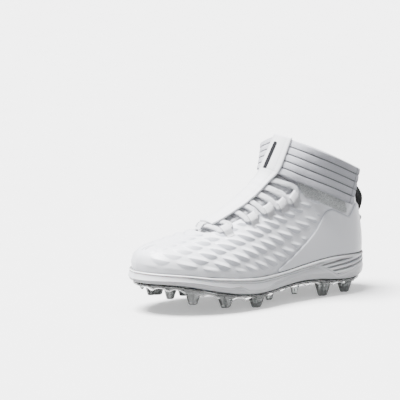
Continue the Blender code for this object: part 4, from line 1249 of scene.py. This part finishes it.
def build_laces(look):
    """Soft flat laces in five turns, joined along a run under the strip."""
    sizes = settings("cleat_cloth")
    grids = []
    for u_loop, u_middle in LACE_ROWS:
        path, normals = lace_turn(u_loop, u_middle)
        path, normals = (resample(line, LACE_STEPS, True) for line in (path, normals))
        grid = cord(path, unit(normals), sizes.lace_width, sizes.lace_thickness, True)
        turn = np.add.outer(np.arange(LACE_STEPS), np.arange(CORD_SIDES))[..., None]
        braid = 1 + 0.035 * np.sin(turn * 0.9)
        grids.append(path[:, None] + (grid - path[:, None]) * braid)
    rows = np.linspace(LACE_ROWS[0][1] - 0.15, LACE_ROWS[-1][1] + 0.15, 90)
    path = over_ridge(rows, 0.0, lace_lift() - 0.0002)
    normals = ridge_normal(rows, np.ones(90), LATERAL, np.zeros(90))
    run = cord(path, normals, sizes.lace_width * 0.9, sizes.lace_thickness * 0.7, False)
    piece = cord_piece("lace_turns", grids, look, True)
    return piece, cord_piece("lace_run", [run], look, False)


def build_loop(name, u, side, look):
    """One webbing loop, from the throat's edge over the lace and down to its stitched foot."""
    sizes = settings("cleat_cloth")
    half, reach, roof = sizes.lace_width / 2, sizes.loop_reach, lace_top()
    profile = np.array((
        (-half - 0.0016, 0.0004), (-half - 0.0016, roof * 0.75), (-half - 0.0004, roof + 0.0004),
        (0.0, roof + 0.0008), (half + 0.0006, roof + 0.0003), (half + reach * 0.45, roof * 0.62),
        (half + reach * 0.8, 0.0008), (half + reach + 0.0010, 0.0005),
    ))
    spread = sizes.loop_width / row_spacing(u, side)
    middle = loop_distance(u)
    share = np.linspace(-0.5, 0.5, 13)[None, :]
    d, h = resample(profile, 44)[:, :1], resample(profile, 44)[:, 1:]
    slant = 0.30 * np.clip(d - half, 0, 1) / row_spacing(u, side)
    at = u + share * spread + slant
    v = v_at_distance(at, side, middle + d)
    base, normal = surface(at, v, side)
    sag = 0.0003 * (1 - (2 * share) ** 4)
    inner = base + normal * h[..., None]
    along, across = (unit(np.gradient(inner, axis=axis)) for axis in (0, 1))
    outward = unit(np.cross(across, along))
    flip = np.sign(np.sum(outward[3:4, 6:7] * normal[3:4, 6:7], axis=-1, keepdims=True))
    edge = 1 - 0.35 * (1 - smooth(0.5 - np.abs(share), 0.0, 0.1))
    outer = inner + outward * flip * ((LOOP_CLOTH + sag) * edge)[..., None]
    return shell_piece(name, outer, inner, look, turn=True)


def build_keeper(look):
    """Small webbing keeper over the foremost lace crossing."""
    sizes = settings("cleat_cloth")
    middle = LACE_ROWS[0][1]
    ends = over_ridge(np.array((middle - 0.5, middle + 0.5)), 0.0, 0.0)
    row_length = np.linalg.norm(ends[1] - ends[0])
    half, roof = sizes.lace_width / 2, lace_lift() + sizes.lace_thickness / 2 + KEEPER_GAP
    profile = resample(np.array((
        (-half - 0.0052, 0.0004), (-half - 0.0020, roof * 0.55), (-half * 0.55, roof + 0.0002),
        (half * 0.55, roof + 0.0002), (half + 0.0012, roof * 0.55), (half + 0.0022, 0.0006),
    )), 40)
    d, h = profile[:, :1], profile[:, 1:]
    across = np.linspace(-KEEPER_HALF, KEEPER_HALF, 13)[None, :]
    at, across, h = np.broadcast_arrays(middle + (d - LACE_SPREAD * 0.75) / row_length, across, h)
    inner = over_ridge(at, across, h)
    outer = inner + grid_normals(inner, np.array((0, 0, 1.0))) * KEEPER_CLOTH
    return shell_piece("lace_keeper", outer, inner, look, turn=True)


# Tongue: first row, row of its top in the middle, how deep it lies, and its padding
TONGUE_START, TONGUE_TOP = 5.35, 13.05
TONGUE_GAP, TONGUE_TUCK = 0.0012, 0.005
TONGUE_DEPTH, TONGUE_TOE_DROP = 0.0036, 0.0014
TONGUE_THICKNESS, TONGUE_PUFF = 0.0045, 0.0026
RIB_PITCH, RIB_SWELL = 0.0075, 0.0012
TONGUE_RIM, TONGUE_RIM_RUN = 0.0022, 0.003
TONGUE_STEPS = 230
TOP_V = 0.999  # just under the top line, where the throat's edge can still be found

# Cuff: its lower edge in v, gap from the throat's edge in rows, and its rounded edges
CUFF_EDGE_LOW, CUFF_FRONT_GAP = 0.844, 0.07
CUFF_THICKNESS, CUFF_SWELL, CUFF_SWELL_RUN = 0.005, 0.0005, 0.022
CUFF_LENGTH = 0.09  # rough length of one side, from the front to the back
CUFF_ROUND_TOP, CUFF_ROUND_RUN, CUFF_ROUND_FRONT = 0.0025, 0.0028, 0.0022
CUFF_TUCK, CUFF_WAVE = 0.0023, 0.0003


def build_tongue(look):
    """Padded tongue with soft cross ribs, under the throat and up between the cuff's fronts."""
    shares = np.linspace(-1, 1, 57)
    end = np.where(shares < 0, row_on_throat(TOP_V, LATERAL), row_on_throat(TOP_V, MEDIAL))
    end = TONGUE_TOP + (end - TONGUE_TOP) * np.abs(shares)
    u = TONGUE_START + (end - TONGUE_START) * np.linspace(0, 1, 26)[:, None]
    half = throat_half_width(np.maximum(u, 5.9)) - TONGUE_GAP
    half = half + TONGUE_TUCK * np.clip((12.6 - u) / 0.5, 0, 1)
    depth = TONGUE_DEPTH + TONGUE_TOE_DROP * np.clip((6.6 - u) / 0.8, 0, 1)
    base, above = (
        resample(over_ridge(u, half * shares, lift - depth), TONGUE_STEPS) for lift in (0.0, 0.01)
    )
    normal = unit(above - base)
    run = run_along(base[:, 28])
    rows = np.linspace(0, 1, TONGUE_STEPS)[:, None]
    inside = 1 - smooth(np.abs(shares), 0.80, 0.95)
    rows_u = resample(u, TONGUE_STEPS)
    throat = throat_half_width(rows_u)
    off = np.abs(resample(half, TONGUE_STEPS) * shares)
    puff = TONGUE_PUFF * (1 - smooth(off, throat - 0.0045, throat - 0.0012))
    ribs = np.abs(np.sin(np.pi * run / RIB_PITCH)) ** 0.6
    swell = RIB_SWELL * (ribs - 0.7) * inside * (1 - 0.7 * smooth(rows, 0.86, 0.95))
    rim = TONGUE_RIM * sum(1 - smooth(end_run, 0.0, TONGUE_RIM_RUN) for end_run in (run[-1] - run, run))
    outer = base + normal * (swell + puff * smooth(rows_u, 5.9, 6.4) - rim)[..., None]
    inner = base - normal * (TONGUE_THICKNESS - rim)[..., None]
    piece = shell_piece("padded_tongue", outer, inner, look, turn=True)
    paint_attribute(piece, "line", (1 - smooth(ribs, 0.0, 0.45)) * inside, outer)
    return piece


def row_on_throat(v, side):
    """The row at which the throat's edge passes a given v near the ankle."""
    low, high = 12.5, 14.5
    for _ in range(HALVINGS):
        u = (low + high) / 2
        low, high = (u, high) if v_at_distance(u, side, throat_half_width(u)) < v else (low, u)
    return low


def build_cuff(look):
    """Padded knit cuff with a rounded, slightly uneven rim, open at the front."""
    share, side = out_and_back(np.linspace(0, 1, 150))
    heights = np.linspace(CUFF_EDGE_LOW, 1.0, 30)
    u = CUFF_FRONT_GAP + np.array(
        [[row_on_throat(min(v, TOP_V), s) for s in (LATERAL, MEDIAL)] for v in heights])
    front = np.where(side == LATERAL, u[:, :1], u[:, 1:])
    rows = front + (LAST_ROW - front) * share
    base, normal = surface(rows, heights[:, None], side)
    down = np.linalg.norm(base - base[-1][None], axis=2)
    round_top = 1 - np.sqrt(1 - np.clip(1 - down / CUFF_ROUND_RUN, 0, 1) ** 2)
    round_front = 1 - smooth(share * CUFF_LENGTH, 0.0, 0.0025)
    tuck = np.minimum(CUFF_ROUND_TOP * round_top + CUFF_ROUND_FRONT * round_front, CUFF_TUCK)
    wave = CUFF_WAVE * np.sin(share * 60) * smooth(down, 0.004, 0.0)
    swell = CUFF_SWELL * np.sin(np.pi * np.clip(down / CUFF_SWELL_RUN, 0, 1))
    outer = base + normal * (swell - tuck + wave)[..., None]
    inner = base - normal * (CUFF_THICKNESS - tuck)[..., None]
    return shell_piece("padded_cuff", outer, inner, look)


# ---- pull loop and sole ----


PULL_SIDE, PULL_ACROSS = 9, 17  # columns over one side of the heel, and over both
PULL_SEAT, PULL_BOW, PULL_THICKNESS = 0.0020, 0.0095, 0.0018
PULL_END_GAP, FOLD_PUFF = 0.012, 0.0078  # the gap is a share of v, the puff a length


def back_rows(count):
    """Rows and sides across the back of the heel, as wide as the pull loop."""
    u, side = out_and_back(np.linspace(PULL_ROW, LAST_ROW, count))
    return u[None, :], side[None, :]


def build_pull_loop(look):
    """Black webbing loop standing off the heel."""
    u, side = back_rows(PULL_SIDE)
    v = np.linspace(PULL_LOW, PULL_HIGH, 50)[:, None]
    bow = resample(np.array((0.0, 0.55, 0.9, 1.0, 0.8, 0.4, 0.0))[:, None], len(v))
    base, normal = surface(u, v, side)
    edge = 0.0005 * smooth(np.abs(np.linspace(-1, 1, PULL_ACROSS)), 0.8, 1.0)
    inner = base + normal * (PULL_SEAT + PULL_BOW * bow)[..., None]
    outer = inner + normal * (PULL_THICKNESS - edge)[:, None]
    return shell_piece("pull_loop_webbing", outer, inner, look, turn=True)


def build_pull_end(look):
    """Puffed white end that holds the pull loop down."""
    u, side = back_rows(PULL_SIDE)
    v = np.linspace(PULL_END_LOW, PULL_LOW - PULL_END_GAP, 30)[:, None]
    puff = resample(np.array((0.20, 0.72, 1.0, 0.72))[:, None], len(v))
    cap = 1 - 0.45 * smooth(np.abs(np.linspace(-1, 1, PULL_ACROSS)), 0.6, 1.0)
    base, normal = surface(u, v, side)
    outer = base + normal * (PULL_SEAT + FOLD_PUFF * puff * cap)[..., None]
    return shell_piece("pull_loop_fold", outer, base + normal * PULL_SEAT, look)


def sole_stations(count):
    """Rows round the sole, closer at the toe tip and at the back of the heel."""
    t = np.linspace(0, 1, count)
    return LAST_ROW * (0.35 * (0.5 - 0.5 * np.cos(np.pi * t)) + 0.65 * t)


LAYER_GAP = 0.0007  # between the layers of the sole
INSOLE_INSET, INSOLE_THICKNESS, INSOLE_ROUND = 0.0030, 0.0040, 0.001
PLATE_INSET = 0.0012


def sole_line(x, name):
    """Height of the upper's foot or the midsole's underside, at a place along the shoe."""
    rows = np.linspace(0, LAST_ROW, 721)
    s = section(rows)
    return np.interp(x, (column(s, "foot") - 0.5) * SOLE_LENGTH, column(s, name)) * EDGE_HEIGHT


def slab_piece(name, inset, top, bottom, look, edge=0.0):
    """A plate across the shoe between two heights, with an optional rounded edge."""
    rows = sole_stations(120)
    a, b = (
        (edge_point(rows, side) - edge_normal(rows, side) * inset)[:, None]
        for side in (LATERAL, MEDIAL)
    )
    share = (0.5 - 0.5 * np.cos(np.linspace(0, np.pi, 41)))[None, :, None]
    grid = a + (b - a) * share
    out = np.minimum(np.linalg.norm(grid - a, axis=2), np.linalg.norm(grid - b, axis=2))
    roll = edge * (1 - smooth(out, 0.0, edge)) if edge else 0.0
    upper, lower = grid.copy(), grid.copy()
    upper[..., 2] = top(grid[..., 0]) - roll
    lower[..., 2] = bottom(grid[..., 0])
    return shell_piece(name, upper, lower, look)


def build_insole(look):
    """Flat board on the midsole, inside the upper."""
    def bottom(x):
        return sole_line(x, "edge") + LAYER_GAP

    def top(x):
        return bottom(x) + INSOLE_THICKNESS

    return slab_piece("insole_board", INSOLE_INSET, top, bottom, look, INSOLE_ROUND)


# Where the wall's white top gives way to its frosted foot. Columns: row, share of its height.
LOW_EDGE = np.array((
    (0, 0.75), (2, 0.66), (4.5, 0.60), (6.2, 0.66), (6.9, 0.50), (7.45, 0.79), (8.4, 0.80), (9.1, 0.52),
    (10.5, 0.36), (11.8, 0.24), (13.2, 0.84), (15, 0.55), (16.5, 0.42), (18, 0.40),
))

# Wall of the midsole. Columns: share of its height from the top, how far out, of the lip.
WALL = np.array((
    (0.0, 0.62), (0.03, 0.95), (0.07, 1.12), (0.12, 1.05), (0.17, 0.90), (0.24, 0.95),
    (0.40, 1.10), (0.55, 1.26), (0.68, 1.42), (0.80, 1.30), (0.92, 0.95), (1.0, 0.3),
))
# The forefoot's hairlines: shallow grooves with painted shade. Columns: share of the wall's height,
# darkness.
WALL_LINES = ((0.19, 0.9), (0.31, 0.65))
LINE_DEPTH, FOOT_STEP, SLIT_DEPTH, HEEL_FLARE = 0.0006, 0.0007, 0.0030, 0.0014
FIN_PITCH, FIN_SLANT = 0.19, 0.085


def low_edge(u):
    """Share of the wall's height at which its white top gives way to the frosted foot."""
    return np.interp(u, LOW_EDGE[:, 0], LOW_EDGE[:, 1])


def wall_lines(u, drop):
    """Hairlines of the wall, from 0 to 1, with painted shade: the top joint's shadow gap, two forefoot
    grooves, the low edge's step.
    """
    fore = smooth(u, 3.4, 3.9) * (1 - smooth(u, 11.0, 13.0))
    lines = 0.9 * (1 - smooth(drop, 0.0, 0.04))
    for place_down, share in WALL_LINES:
        lines = np.maximum(lines, share * fore * bell(drop - place_down, 0.018))
    return np.maximum(lines, 0.55 * bell(drop - low_edge(u), 0.016))


def heel_slits(u, drop):
    """Depth, from 0 to 1, of the slits between the slanted fins at the heel."""
    inside = smooth(u, 11.7, 12.2) * (1 - smooth(u, 17.4, 17.8))
    inside = inside * smooth(drop, 0.13, 0.17) * smooth(low_edge(u) - 0.05 - drop, 0.0, 0.04)
    fins = 0.5 + 0.5 * np.sin(2 * np.pi * (drop + FIN_SLANT * (u - 13)) / FIN_PITCH)
    return inside * smooth(fins, 0.35, 0.70)


def wall_profile(u, drop):
    """How far the midsole's wall stands out at a place along the shoe and down its side."""
    out = np.interp(drop, WALL[:, 0], WALL[:, 1]) * settings("cleat_sole").lip
    out = out - LINE_DEPTH * wall_lines(u, drop) * (drop > 0.04)
    step = smooth(drop - low_edge(u), -0.01, 0.02) * (1 - smooth(drop, 0.80, 0.95))
    flare = HEEL_FLARE * smooth(u, 16.6, 18.0) * bell(drop - 0.09, 0.06)
    return out - FOOT_STEP * step - SLIT_DEPTH * heel_slits(u, drop) + flare


def build_midsole(look):
    """White midsole: lipped wall, thin forefoot lines, fins at the heel, frosted foot; painted shade in
    its lines and slits.
    """
    half = 300
    u, side = out_and_back(sole_stations(half)[::-1], closed=True)
    drop = np.linspace(0, 1, 96)[:, None]
    edge, normal = edge_point(u, side), edge_normal(u, side)
    grid = edge[None] + normal[None] * wall_profile(u[None, :], drop)[..., None]
    top = edge[None, :, 2] - 0.0003
    grid[..., 2] = top + (sole_line(grid[..., 0], "base") - top) * drop
    rounds, count = grid.shape[:2]
    faces = grid_faces(rounds, count, True)
    for base in (0, (rounds - 1) * count):
        for j in range(half - 1):
            pair = (j, j + 1, (count - j - 1) % count, (count - j) % count)
            faces.append(tuple(dict.fromkeys(base + k for k in pair)))
    piece = mesh_piece("midsole_foam", grid.reshape(-1, 3), faces, look, grid_uv(grid))
    depth = smooth(drop, low_edge(u)[None, :] - 0.02, low_edge(u)[None, :] + 0.16)
    paint_attribute(piece, "depth", depth, grid)
    # painted shade: the top joint's shadow gap, the hairline grooves, the low edge's step, the slits
    # between the heel fins
    dark = np.maximum(wall_lines(u[None, :], drop), 0.75 * heel_slits(u[None, :], drop))
    paint_attribute(piece, "line", dark, grid)
    return piece


# Studs, from toe to heel. Columns: place along, of SOLE_LENGTH; off the middle, of BALL_WIDTH;
# height of the tip, of EDGE_HEIGHT; size, of a full stud.
STUDS = (
    (0.105, -0.13, 0.36, 0.80), (0.098, 0.20, 0.34, 0.80),
    (0.160, -0.33, 0.25, 0.95), (0.175, 0.40, 0.22, 0.95),
    (0.290, -0.41, 0.11, 1.00), (0.300, 0.41, 0.10, 1.00),
    (0.230, 0.02, 0.26, 0.70), (0.365, 0.02, 0.12, 0.70),
    (0.440, -0.38, 0.00, 1.00), (0.440, 0.31, 0.00, 1.00),
    (0.545, -0.20, 0.04, 0.70), (0.690, -0.10, 0.04, 0.60),
    (0.780, -0.27, 0.00, 1.00), (0.780, 0.25, 0.00, 1.00),
    (0.895, -0.23, 0.00, 0.95), (0.895, 0.22, 0.00, 0.95),
)
# A stud's outline. Columns: share of the way down, width as a share of its width at the top.
STUD_SHAPE = np.array((
    (0.0, 1.22), (0.05, 1.12), (0.12, 1.05), (0.25, 0.98), (0.40, 0.88), (0.55, 0.79), (0.70, 0.70),
    (0.82, 0.63), (0.90, 0.59), (0.95, 0.555), (0.98, 0.52), (1.0, 0.47), (1.0, 0.30), (1.0, 0.02),
))
RAIL_INSET, RAIL_HALF = 0.0075, 0.0022
RAIL_LOW, RAIL_SCALLOP = 0.0022, 0.0030
SCALLOP_PHASE = 330  # radians of the rail's wave in each metre


def plate_top(x):
    """Height of the clear plate's upper face."""
    return sole_line(x, "base") - LAYER_GAP


def build_plate(look):
    """Smoky clear plate under the midsole."""
    def bottom(x):
        return plate_top(x) - settings("cleat_sole").plate

    return slab_piece("clear_plate", PLATE_INSET, plate_top, bottom, look)


def build_rails(look):
    """Low scalloped rail moulded round the plate's underside, tying the studs together."""
    plate = settings("cleat_sole").plate
    u, side = out_and_back(sole_stations(200)[::-1], closed=True)
    normal = edge_normal(u, side)
    edge = edge_point(u, side) - normal * RAIL_INSET
    t = np.linspace(0, 2 * np.pi, 12, endpoint=False)[None, :]
    grid = edge[:, None] + normal[:, None] * (np.cos(t) * RAIL_HALF)[..., None]
    swing = 0.5 + 0.5 * np.sin(run_along(edge) * SCALLOP_PHASE)
    tall = RAIL_LOW + RAIL_SCALLOP * swing**2
    top = plate_top(grid[..., 0]) - plate * 0.6
    grid[..., 2] = top - (0.5 - 0.5 * np.sin(t)) * (tall + plate * 0.4)
    return cord_piece("clear_rail", [grid], look, True)


def build_studs(look):
    """All the studs: smooth fluted posts with rounded tips."""
    sizes = settings("cleat_sole")
    turn = np.linspace(0, 2 * np.pi, 72, endpoint=False)[None, :]
    levels, width = STUD_SHAPE[:, :1], STUD_SHAPE[:, 1:]
    grids = []
    for share, off_centre, tip, size in STUDS:
        x, y, foot = (share - 0.5) * SOLE_LENGTH, off_centre * BALL_WIDTH, tip * EDGE_HEIGHT
        flutes = np.maximum(0, np.cos(turn * 4 - np.pi)) ** 2
        reach = size * width * (1 - sizes.flute * flutes * smooth(width, 0.1, 0.5))
        px = x + np.cos(turn) * sizes.stud_length / 2 * reach
        py = y + np.sin(turn) * sizes.stud_width / 2 * reach
        root = plate_top(px) - sizes.plate * 0.5
        pz = root + (foot - root) * levels
        grids.append(np.stack([px, py, pz], axis=-1))
    return cord_piece("clear_studs", grids, look, False)


# ---- stage ----


# Floor's half side, where the main light comes from, and where the camera aims
FLOOR_HALF = 6.0
KEY_FROM, KEY_SPREAD = (-0.28, 0.12, 0.95), 30
AIM_RIGHT, AIM_UP = -0.0550, 0.1125
SKY_MARKS = (0.25, 0.42, 0.56, 0.72)  # from straight down (0) to straight up (1)


def sky_light(tree, above, level, below):
    """Even light from above, a dim band at the level of the shoe, and bounced light from below."""
    place_node = tree.nodes.new("ShaderNodeTexCoord")
    split = tree.nodes.new("ShaderNodeSeparateXYZ")
    spread = tree.nodes.new("ShaderNodeMapRange")
    spread.inputs["From Min"].default_value = -1
    ramp = tree.nodes.new("ShaderNodeValToRGB")
    stops = tuple(zip(SKY_MARKS, (below, level, level, above)))
    while len(ramp.color_ramp.elements) < len(stops):
        ramp.color_ramp.elements.new(0.5)
    for element, (at, strength) in zip(ramp.color_ramp.elements, stops):
        element.position = at
        element.color = (strength, strength, strength, 1)
    tree.links.new(place_node.outputs["Generated"], split.inputs[0])
    tree.links.new(split.outputs["Z"], spread.inputs["Value"])
    tree.links.new(spread.outputs["Result"], ramp.inputs["Fac"])
    tree.links.new(ramp.outputs["Color"], tree.nodes["Background"].inputs["Strength"])
    tree.nodes["Background"].inputs["Color"].default_value = (0.98, 0.985, 1, 1)


def soft_sun(name, towards, strength, spread):
    """An even, soft light from one direction. spread: how large it looks, in degrees."""
    data = bpy.data.lights.new(name, "SUN")
    data.angle = math.radians(spread)
    data.energy = strength
    light = bpy.data.objects.new(name, data)
    light.location = Vector(towards)
    light.rotation_euler = Vector(towards).to_track_quat("Z", "Y").to_euler()
    bpy.context.scene.collection.objects.link(light)


def build_floor(colour, glow):
    """Pale floor, faintly mottled, with a little light of its own that softens the shadow."""
    f = Finish("studio_floor", colour, 0.6)
    f.colour(f.blend(f.noise(0.4), shade(colour, 0.99), shade(colour, 1.01)))
    f.roughness(f.noise(0.05), 0.5, 0.7)
    f.set(Emission_Color=(1, 1, 1, 1), Emission_Strength=glow)
    x, y = np.meshgrid(*[np.linspace(-FLOOR_HALF, FLOOR_HALF, 25)] * 2)
    floor = sheet_piece("studio_floor", stack(x, y, 0), f.material)
    floor.visible_diffuse = False
    return floor


def build_camera(stage):
    """Camera turned to the set angles, aimed so that the shoe sits right of the middle and low."""
    a, e = stage.azimuth, stage.elevation
    to_camera = Vector((math.sin(a) * math.cos(e), -math.cos(a) * math.cos(e), math.sin(e)))
    right = Vector((math.cos(a), math.sin(a), 0))
    up = right.cross(to_camera) * -1
    target = right * AIM_RIGHT + up * AIM_UP
    data = bpy.data.cameras.new("camera")
    data.lens = stage.lens
    data.sensor_width = 36
    data.clip_end = 50
    camera = bpy.data.objects.new("camera", data)
    camera.location = target + to_camera * stage.distance
    camera.rotation_euler = to_camera.to_track_quat("Z", "Y").to_euler()
    bpy.context.scene.collection.objects.link(camera)
    bpy.context.scene.camera = camera


def build_stage():
    """Pale floor, soft lights, pale surroundings and the camera."""
    stage = settings("cleat_stage")
    build_floor(tuple(settings("cleat_colours").floor), stage.glow)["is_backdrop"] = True
    world = bpy.data.worlds.new("studio")
    world.use_nodes = True
    sky_light(world.node_tree, stage.sky, stage.level, stage.ground)
    bpy.context.scene.world = world
    soft_sun("key", KEY_FROM, stage.key, KEY_SPREAD)
    build_camera(stage)


# ---- operators ----


class BuildUpper(bpy.types.Operator):
    """Builds the moulded upper with its raised pods, and its knit lining"""
    bl_idname = "cleat.upper"
    bl_label = "Upper"

    def execute(self, context):
        place(build_upper(finish("moulded_skin")), "skin", "upper")
        place(build_lining(finish("knit")), "cloth")
        return {"FINISHED"}


class BuildHeelPanel(bpy.types.Operator):
    """Builds the smooth panel over the heel"""
    bl_idname = "cleat.heel_panel"
    bl_label = "Heel panel"

    def execute(self, context):
        place(build_heel_panel(finish("smooth_panel")), "skin", "heel_panel")
        return {"FINISHED"}


class BuildStrap(bpy.types.Operator):
    """Builds the ribbed ankle strap and the fleece patch that it closes on"""
    bl_idname = "cleat.strap"
    bl_label = "Strap and patch"

    def execute(self, context):
        place(build_strap(finish("strap_weave")), "cloth", "ankle_strap")
        place(build_patch(finish("fleece_pile")), "fleece", "fastening_patch")
        return {"FINISHED"}


class BuildStrip(bpy.types.Operator):
    """Builds the strip over the laces, its tab and the plain bar on it"""
    bl_idname = "cleat.strip"
    bl_label = "Strip and tab"

    def execute(self, context):
        place(build_strip(finish("smooth_strip")), "cloth", "lace_strip")
        place(build_bar(finish("black_print")), "black_webbing")
        return {"FINISHED"}


class BuildLaces(bpy.types.Operator):
    """Builds the lace turns and the ten webbing loops that hold them"""
    bl_idname = "cleat.laces"
    bl_label = "Laces and loops"

    def execute(self, context):
        turns, run = build_laces(finish("lace_weave"))
        place(turns, "cloth", "laces")
        place(run, "cloth", "laces")
        place(build_keeper(finish("loop_webbing")), "cloth")
        for side, word in ((LATERAL, "outer"), (MEDIAL, "inner")):
            for k, (row, _) in enumerate(LACE_ROWS):
                loop = build_loop(f"webbing_{word}_{k + 1}", row, side, finish("loop_webbing"))
                place(loop, "cloth", f"lace_loop_{word}_{k + 1}")
        return {"FINISHED"}


class BuildPadding(bpy.types.Operator):
    """Builds the padded tongue and the padded ankle cuff"""
    bl_idname = "cleat.padding"
    bl_label = "Tongue and cuff"

    def execute(self, context):
        place(build_tongue(finish("tongue_knit")), "cloth", "tongue", pad=0.75)
        place(build_cuff(finish("knit")), "cloth", "ankle_cuff", pad=0.8)
        return {"FINISHED"}


class BuildPullLoop(bpy.types.Operator):
    """Builds the pull loop behind the ankle and the fold that holds it"""
    bl_idname = "cleat.pull_loop"
    bl_label = "Pull loop"

    def execute(self, context):
        place(build_pull_loop(finish("black_webbing")), "black_webbing", "pull_loop")
        place(build_pull_end(finish("lace_weave")), "cloth", "pull_loop_end")
        return {"FINISHED"}


class BuildSole(bpy.types.Operator):
    """Builds the midsole, insole, clear plate and studs"""
    bl_idname = "cleat.sole"
    bl_label = "Sole"

    def execute(self, context):
        place(build_midsole(finish("sole_foam")), "foam", "midsole")
        place(build_insole(finish("insole_foam")), "foam", "insole")
        place(build_plate(finish("smoky_clear")), "clear", "outsole_plate")
        place(build_studs(finish("smoky_clear")), "clear", "outsole_plate")
        place(build_rails(finish("smoky_clear")), "clear", "outsole_plate")
        return {"FINISHED"}


class BuildStage(bpy.types.Operator):
    """Sets up the floor, lights and camera"""
    bl_idname = "cleat.stage"
    bl_label = "Stage"

    def execute(self, context):
        build_stage()
        return {"FINISHED"}


BUILDERS = (
    BuildUpper, BuildHeelPanel, BuildStrap, BuildStrip, BuildLaces, BuildPadding, BuildPullLoop,
    BuildSole, BuildStage,
)
GROUPS = {
    "cleat_colours": CleatColours, "cleat_skin": CleatSkin, "cleat_cloth": CleatCloth,
    "cleat_sole": CleatSole, "cleat_stage": CleatStage,
}


class CleatPanel(bpy.types.Panel):
    bl_idname = "VIEW3D_PT_cleat"
    bl_label = "Football cleat"
    bl_space_type = "VIEW_3D"
    bl_region_type = "UI"
    bl_category = "Cleat"

    def draw(self, context):
        for name, group in GROUPS.items():
            column = self.layout.column(align=True)
            for key in group.__annotations__:
                column.prop(getattr(context.scene, name), key)
        for builder in BUILDERS:
            self.layout.operator(builder.bl_idname)


def register():
    for cls in (*GROUPS.values(), *BUILDERS, CleatPanel):
        bpy.utils.register_class(cls)
    for name, group in GROUPS.items():
        setattr(bpy.types.Scene, name, PointerProperty(type=group))


def unregister():
    for name in GROUPS:
        delattr(bpy.types.Scene, name)
    for cls in reversed((*GROUPS.values(), *BUILDERS, CleatPanel)):
        bpy.utils.unregister_class(cls)


def main():
    """Builds every piece in order."""
    register()
    for builder in BUILDERS:
        group, name = builder.bl_idname.split(".")
        getattr(getattr(bpy.ops, group), name)()
    boxes = {"cad": CAD_BOX, "visual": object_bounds()}
    {name: [list(map(float, corner)) for corner in box] for name, box in boxes.items()}


if __name__ == "__main__":
    main()
